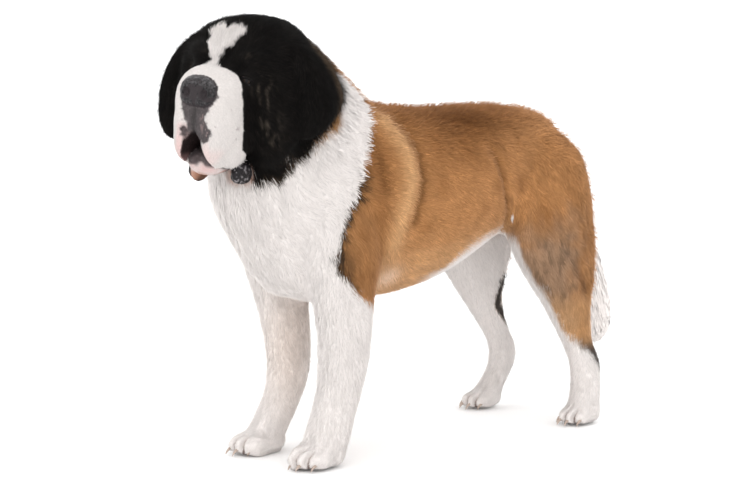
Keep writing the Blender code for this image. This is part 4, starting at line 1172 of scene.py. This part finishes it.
def coat_material(name, group, roughness, variation, scale, sheen, bump=0.0):
    """Fur or skin: pale hair has a soft sheen, dark hair almost none, and wet skin shines."""
    material, tree, shader = new_material(name)
    node = use_group(tree, group, Variation=variation, Scale=scale)
    links = tree.links
    links.new(node.outputs["Color"], shader.inputs["Base Color"])
    shader.inputs["Roughness"].default_value = roughness
    links.new(scaled_by(tree, node.outputs["Bright"], sheen), shader.inputs["Sheen Weight"])
    links.new(scaled_by(tree, node.outputs["Bright"], 0.22, 0.08), shader.inputs["Specular IOR Level"])
    if bump:
        wet = tree.nodes.new("ShaderNodeAttribute")
        wet.attribute_name = "wet"
        links.new(scaled_by(tree, wet.outputs["Fac"], 0.34, roughness), shader.inputs["Roughness"])
        links.new(scaled_by(tree, wet.outputs["Fac"], 0.16, 0.10), shader.inputs["Specular IOR Level"])
        raised = tree.nodes.new("ShaderNodeBump")
        raised.inputs["Strength"].default_value = bump
        raised.inputs["Distance"].default_value = 0.002
        links.new(node.outputs["Height"], raised.inputs["Height"])
        links.new(raised.outputs["Normal"], shader.inputs["Normal"])
    return material


def speckled(name, dark, light, scale, roughness, bump, coat_weight=0.0, specular=0.5, shade=""):
    """A leathery material: two colours mixed by fine noise, with pebbles."""
    material, tree, shader = new_material(name)
    place = tree.nodes.new("ShaderNodeTexCoord")
    cells = tree.nodes.new("ShaderNodeTexVoronoi")
    cells.inputs["Scale"].default_value = scale
    tree.links.new(place.outputs["Object"], cells.inputs["Vector"])
    ramp = tree.nodes.new("ShaderNodeValToRGB")
    ramp.color_ramp.elements[0].color = (*light, 1)
    ramp.color_ramp.elements[1].color = (*dark, 1)
    ramp.color_ramp.elements[1].position = 0.7
    tree.links.new(cells.outputs["Distance"], ramp.inputs["Fac"])
    colour = ramp.outputs["Color"]
    if shade:
        stored = tree.nodes.new("ShaderNodeAttribute")
        stored.attribute_name = shade
        shaded = tree.nodes.new("ShaderNodeVectorMath")
        shaded.operation = "SCALE"
        tree.links.new(colour, shaded.inputs[0])
        tree.links.new(stored.outputs["Fac"], shaded.inputs["Scale"])
        tree.links.new(scaled_by(tree, stored.outputs["Fac"], specular), shader.inputs["Specular IOR Level"])
        colour = shaded.outputs[0]
    else:
        shader.inputs["Specular IOR Level"].default_value = specular
    tree.links.new(colour, shader.inputs["Base Color"])
    shader.inputs["Roughness"].default_value = roughness
    shader.inputs["Coat Weight"].default_value = coat_weight
    raised = tree.nodes.new("ShaderNodeBump")
    raised.invert = True
    raised.inputs["Strength"].default_value = bump
    raised.inputs["Distance"].default_value = 0.0008
    tree.links.new(cells.outputs["Distance"], raised.inputs["Height"])
    tree.links.new(raised.outputs["Normal"], shader.inputs["Normal"])
    return material


def eye_material(name, centre, gaze):
    """Dark iris and pupil by distance from the eye's front, with a reddish white."""
    material, tree, shader = new_material(name)
    place = tree.nodes.new("ShaderNodeTexCoord")
    offset = tree.nodes.new("ShaderNodeVectorMath")
    offset.operation = "DISTANCE"
    front = centre + gaze * EYE_RADIUS
    offset.inputs[1].default_value = tuple(front)
    tree.links.new(place.outputs["Object"], offset.inputs[0])
    scaled = tree.nodes.new("ShaderNodeMath")
    scaled.operation = "DIVIDE"
    scaled.inputs[1].default_value = 0.012
    tree.links.new(offset.outputs["Value"], scaled.inputs[0])
    ramp = tree.nodes.new("ShaderNodeValToRGB")
    stops = ((0.0, (0.004, 0.003, 0.003)), (0.27, (0.004, 0.003, 0.003)), (0.31, (0.016, 0.008, 0.004)),
             (0.58, (0.010, 0.005, 0.003)),
             (0.66, (0.006, 0.004, 0.004)), (0.86, (0.05, 0.035, 0.033)), (1.0, (0.16, 0.11, 0.11)))
    ramp.color_ramp.elements[0].color = (*stops[0][1], 1)
    ramp.color_ramp.elements[1].position = stops[-1][0]
    ramp.color_ramp.elements[1].color = (*stops[-1][1], 1)
    for position, colour in stops[1:-1]:
        element = ramp.color_ramp.elements.new(position)
        element.color = (*colour, 1)
    tree.links.new(scaled.outputs[0], ramp.inputs["Fac"])
    tree.links.new(ramp.outputs["Color"], shader.inputs["Base Color"])
    shader.inputs["Roughness"].default_value = 0.12
    shader.inputs["Specular IOR Level"].default_value = 0.12
    shader.inputs["Coat Weight"].default_value = 0.12
    return material


def eyes():
    """Glossy eyeballs in place of the plain ones."""
    out = []
    for side, name in ((1, "left"), (-1, "right")):
        at = EYES[side]
        gaze = (FACE.to_3x3() @ Vector((0.80, side * 0.58, -0.10))).normalized()
        deselect()
        bpy.ops.mesh.primitive_uv_sphere_add(segments=48, ring_count=32, radius=EYE_RADIUS)
        ball = bpy.context.object
        ball.name = "eyeball_" + name
        points = points_of(ball.data)
        set_points(ball.data, points + np.array(at))
        bpy.ops.object.shade_smooth()
        ball.data.materials.append(eye_material("eye_" + name, at, gaze))
        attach(ball, "root")
        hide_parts("eye_" + name)
        out.append(ball)
    return out


def lid_ring(side, width, above, below, tube, lift, name, around=64, lean=0.0):
    """A soft rim round the eye's opening, held on a ball a little larger than the eye."""
    at = np.array(EYES[side])
    turn = np.array(FACE.to_3x3())
    front = unit(turn @ np.array((0.74, side * 0.66, -0.08)))
    up = turn @ np.array((0.10, 0, 1.0))
    up = unit(up - front * (up @ front))
    out = np.cross(front, up) * -side
    rings = []
    for k in range(around):
        angle = 2 * np.pi * k / around
        ca, sa = np.cos(angle), np.sin(angle)
        tall = above if sa > 0 else below
        spot = width * ca * out + (tall * sa * abs(sa) ** -0.15 if sa else 0) * up
        spot = spot + up * (-0.0025 * ca * (1 if lean == 0 else lean))
        radius = EYE_RADIUS + lift
        flat = min(np.linalg.norm(spot) / radius, 0.98)
        place = at + spot + front * radius * np.sqrt(1 - flat * flat)
        rings.append(place)
    rings = np.array(rings)
    ahead = np.roll(rings, -1, 0) - np.roll(rings, 1, 0)
    ahead = unit(ahead)
    outward = unit(rings - at)
    across = np.cross(ahead, outward)
    section = []
    for k in range(10):
        angle = 2 * np.pi * k / 10
        section.append(rings + tube * (np.cos(angle) * across * 1.25 + np.sin(angle) * outward))
    grid = np.stack(section, 1)
    quads = []
    for i in range(around):
        for k in range(10):
            j, m = (i + 1) % around, (k + 1) % 10
            quads.append((i * 10 + k, i * 10 + m, j * 10 + m, j * 10 + k))
    mesh = bpy.data.meshes.new(name)
    mesh.from_pydata([tuple(p) for p in grid.reshape(-1, 3)], [], quads)
    thing = bpy.data.objects.new(name, mesh)
    bpy.context.scene.collection.objects.link(thing)
    facing_out(thing)
    only(thing)
    bpy.ops.object.shade_smooth()
    return thing


def haw_spot(side, name):
    """The small moist fold that shows at the eye's lower outer corner, coloured pale grey as a painted highlight."""
    at = np.array(EYES[side])
    turn = np.array(FACE.to_3x3())
    spot = at + turn @ (EYE_RADIUS * 1.04 * unit(np.array((0.52, side * 0.74, -0.66))))
    deselect()
    bpy.ops.mesh.primitive_uv_sphere_add(segments=24, ring_count=16, radius=1.0)
    thing = bpy.context.object
    thing.name = name
    points = points_of(thing.data) * np.array([0.0016, 0.0030, 0.0011])
    set_points(thing.data, points @ turn.T + spot)
    bpy.ops.object.shade_smooth()
    return thing


def nose_piece(material):
    """The nose leather, finer than the solid, with painted shade in the nostrils and groove and painted light on its
    top.
    """
    thing = copy_of("nose", "nose_leather")
    fine = thing.modifiers.new("fine", "REMESH")
    fine.mode = "VOXEL"
    fine.voxel_size = 0.0007
    apply_modifier(thing, fine)
    points = points_of(thing.data)
    points = spread(points, edges_of(thing.data), 6)
    normals = vertex_normals(points, triangles_of(thing.data))
    face = inside(points, FACE)
    side = np.stack([face[:, 0], np.abs(face[:, 1]), face[:, 2]], 1)
    nostril = line_of(side, ((0, 0.0120, 0.0135), (0, 0.0128, 0.0060), (0, 0.0145, -0.0020)), 0.0052, 0.0)
    curl = ((0, 0.0145, -0.0020), (0, 0.0200, -0.0075), (0, 0.0280, -0.0085), (0, 0.0350, -0.0030))
    slit = line_of(side, curl, 0.0030, 0.0)
    groove = line_of(side, ((0, 0.0030, 0.0060), (0, 0.0026, -0.0100), (0, 0.0012, -0.0280)), 0.0012, 0.0)
    # Painted shade: the nostrils, their slits and the groove are darkened in the shade attribute
    deep = np.maximum(ease(nostril, 0.30, 0.70), 0.90 * ease(slit, 0.3, 0.8))
    deep = np.maximum(deep, 0.75 * groove)
    pebbles = 0.00030 * noise(points, 0.0022, 44) * (1 - deep)
    set_points(thing.data, points + normals * (pebbles - 0.0045 * deep)[:, None])
    shade = thing.data.attributes.new("shade", "FLOAT", "POINT")
    # Painted light: the mottle stands for glints on the pebbled leather, and the upward-facing top is painted lighter
    glint_mottle_and_top_light = np.exp(0.80 * noise(points, 0.0030, 45)) * (1 + 0.70 * ease(normals[:, 2], 0.2, 0.9))
    shade.data.foreach_set("value", ((1 - 0.95 * deep) * glint_mottle_and_top_light).astype(np.float32))
    only(thing)
    bpy.ops.object.shade_smooth()
    thing.data.materials.append(material)
    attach(thing, "root")
    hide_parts("nose")
    return thing


def cad_materials(kept, material):
    for node in kept:
        mesh = NODES[node].data
        mesh.materials.clear()
        mesh.materials.append(material)


def camera():
    data = bpy.data.cameras.new("photo_view")
    data.lens = CAMERA_LENS
    data.sensor_width = 36
    thing = bpy.data.objects.new("photo_view", data)
    bpy.context.scene.collection.objects.link(thing)
    ahead = Vector((
        -math.sin(CAMERA_AZIMUTH) * math.cos(CAMERA_PITCH),
        math.cos(CAMERA_AZIMUTH) * math.cos(CAMERA_PITCH),
        -math.sin(CAMERA_PITCH),
    ))
    thing.location = CAMERA_AT + SHIFT
    thing.rotation_euler = ahead.to_track_quat("-Z", "Y").to_euler()
    bpy.context.scene.camera = thing


def studio():
    """A white floor, a near white surround and large soft lamps."""
    deselect()
    bpy.ops.mesh.primitive_plane_add(size=60)
    floor = bpy.context.object
    floor.name = "floor"
    material, tree, shader = new_material("floor")
    shader.inputs["Base Color"].default_value = (0.95, 0.95, 0.95, 1)
    shader.inputs["Roughness"].default_value = 0.9
    place = tree.nodes.new("ShaderNodeTexCoord")
    grain = tree.nodes.new("ShaderNodeTexNoise")
    grain.inputs["Scale"].default_value = 3.0
    ramp = tree.nodes.new("ShaderNodeValToRGB")
    ramp.color_ramp.elements[0].color = (0.94, 0.94, 0.94, 1)
    ramp.color_ramp.elements[1].color = (0.96, 0.96, 0.96, 1)
    tree.links.new(place.outputs["Object"], grain.inputs["Vector"])
    tree.links.new(grain.outputs["Fac"], ramp.inputs["Fac"])
    tree.links.new(ramp.outputs["Color"], shader.inputs["Base Color"])
    floor.data.materials.append(material)
    world = bpy.data.worlds.new("studio")
    world.use_nodes = True
    world.node_tree.nodes["Background"].inputs["Color"].default_value = (1, 1, 1, 1)
    world.node_tree.nodes["Background"].inputs["Strength"].default_value = 1.42
    bpy.context.scene.world = world
    for name, place, angle, power in (
        ("key", (1.4, -2.2, 2.4), 50, 0.35),
        ("fill", (2.6, -1.6, 0.35), 90, 0.35),
        ("front", (2.6, -2.4, 0.60), 60, 0.25),
    ):
        lamp = bpy.data.lights.new(name, "SUN")
        lamp.angle = math.radians(angle)
        lamp.energy = power
        thing = bpy.data.objects.new(name, lamp)
        thing.location = place
        thing.rotation_euler = (Vector((0, 0, 0.5)) - Vector(place)).to_track_quat("-Z", "Y").to_euler()
        bpy.context.scene.collection.objects.link(thing)
    bpy.context.scene.view_settings.view_transform = "Standard"


def dressed():
    skin = body_skin()
    largest_only(skin)
    points = points_of(skin.data)
    edges = edges_of(skin.data)
    points = spread(points, edges, 4)
    points = points - vertex_normals(points, triangles_of(skin.data)) * closing(points)[:, None]
    crease = closing(points) / CLOSING
    points = points + (spread(points, edges, 24) - points) * crease[:, None]
    points = sculpted(points, vertex_normals(points, triangles_of(skin.data)))
    points[:, 2] = np.maximum(points[:, 2], FLOOR_GAP)
    set_points(skin.data, points)
    thinned(skin, SKIN_FACES)
    hide = Hide(skin)
    wrinkles = 0.0022 * hide.wet * noise(hide.points, 0.0060, 43) * (hide.names == "lower_jaw")
    inset = hide.points + hide.normals * (wrinkles - INSET * hide.fields[:, 2])[:, None]
    inset[:, 2] = np.maximum(inset[:, 2], FLOOR_GAP)
    set_points(skin.data, inset)
    hide.points = inset
    hide.normals = vertex_normals(inset, hide.triangles)
    hide.tree = BVHTree.FromPolygons(inset.tolist(), hide.triangles.tolist())
    skin_colours = coat_colours(hide.points, hide.normals, hide.names, np.zeros(len(inset)))
    skin_colours = with_toe_gap_shade(skin_colours, hide.points)
    # The furred skin is painted 15% darker than the coat as painted shade under the hair; wet bare skin keeps the full
    # colour
    colour_layer(skin.data, skin_colours * (0.85 + 0.15 * hide.wet)[:, None])
    wet = skin.data.attributes.new("wet", "FLOAT", "POINT")
    wet.data.foreach_set("value", hide.wet.astype(np.float32))
    group = strand_group()
    fur = coat_material("fur", group, 0.75, 0.25, 500.0, 0.15)
    under = coat_material("skin", group, 0.85, 0.35, 900.0, 0.1, 0.6)
    skin.data.materials.clear()
    skin.data.materials.append(under)
    only(skin)
    bpy.ops.object.shade_smooth()
    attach(skin, "root")
    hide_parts(*[n for n in FLESH if n != "nose"])
    left, right = ((0, 0.0, 9.0),), ((0, -9.0, 0.0),)
    front_legs = ("leg_front_left_upper", "leg_front_left_lower"), ("leg_front_right_upper", "leg_front_right_lower")
    plan = (
        ("fur_muzzle", ("muzzle", "lower_jaw"), (), None, "white_coat"),
        ("fur_head_left", ("head",), left, None, "black_coat"),
        ("fur_head_right", ("head",), right, None, "black_coat"),
        ("fur_ears", ("ear",), (), None, "black_coat"),
        ("fur_neck_left", ("neck",), left, None, "white_coat"),
        ("fur_neck_right", ("neck",), right, None, "white_coat"),
        ("fur_shoulder_left", ("torso",), left + ((1, -9.0, -0.06),), None, "brown_coat"),
        ("fur_shoulder_right", ("torso",), right + ((1, -9.0, -0.06),), None, "brown_coat"),
        ("fur_flank_left", ("torso",), left + ((1, -0.06, 9.0),), None, "brown_coat"),
        ("fur_flank_right", ("torso",), right + ((1, -0.06, 9.0),), None, "brown_coat"),
        ("fur_left_foreleg", front_legs[0], (), None, "white_coat"),
        ("fur_right_foreleg", front_legs[1], (), None, "white_coat"),
        ("fur_left_thigh", ("leg_hind_left_upper",), (), None, "brown_coat"),
        ("fur_right_thigh", ("leg_hind_right_upper",), (), None, "brown_coat"),
        ("fur_hocks", ("leg_hind_left_lower", "leg_hind_right_lower"), (), None, "white_coat"),
        ("fur_paws", ("paw",), (), None, "white_coat"),
        ("fur_tail", ("tail",), (), None, "white_coat"),
        ("fur_ruff", ("head", "ear", "neck", "torso"), (), "ruff", "black_coat"),
        ("fur_fuzz", ("head", "ear"), (), "fuzz", "black_coat"),
        ("fur_back", ("torso", "leg_hind_left_upper", "leg_hind_right_upper"), (), "back", "brown_coat"),
    )
    whole = 0
    for name, keys, zone, kind, slot in plan:
        piece = coat(hide, name, keys, zone, kind)
        piece.data.materials.append(fur)
        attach(piece, "root")
        if name == "fur_tail":
            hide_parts("tail")
        count = sum(len(p.vertices) - 2 for p in piece.data.polygons)
        whole += count
        print(name, count, flush=True)
    print("coat", whole, "skin", len(hide.triangles), flush=True)
    return skin


camera()
dressed()
eyes()
leather = speckled("nose_leather", (0.008, 0.007, 0.0075), (0.040, 0.035, 0.038), 900.0, 0.40, 0.5, 0.0, 0.30, "shade")
rim = speckled("lid_rim", (0.004, 0.003, 0.003), (0.008, 0.007, 0.007), 900.0, 0.50, 0.2, 0.0, 0.08)
# Pale grey-blue haw: a painted highlight on the lower lid's wet fold
haw_highlight = speckled("haw_highlight", (0.15, 0.15, 0.16), (0.38, 0.38, 0.40), 700.0, 0.22, 0.1, 0.5)
horn = speckled("claw", (0.34, 0.26, 0.21), (0.58, 0.48, 0.41), 500.0, 0.45, 0.2)
nose_piece(leather)
for side, word in ((1, "left"), (-1, "right")):
    corner = haw_spot(side, "haw_" + word)
    corner.data.materials.append(haw_highlight)
    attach(corner, "root")
    lid = lid_ring(side, 0.0108, 0.0052, 0.0068, 0.0019, 0.0008, "lid_" + word)
    lid.data.materials.append(rim)
    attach(lid, "root")
cad_materials([n for n in NODES if n.startswith("claw")], horn)
studio()
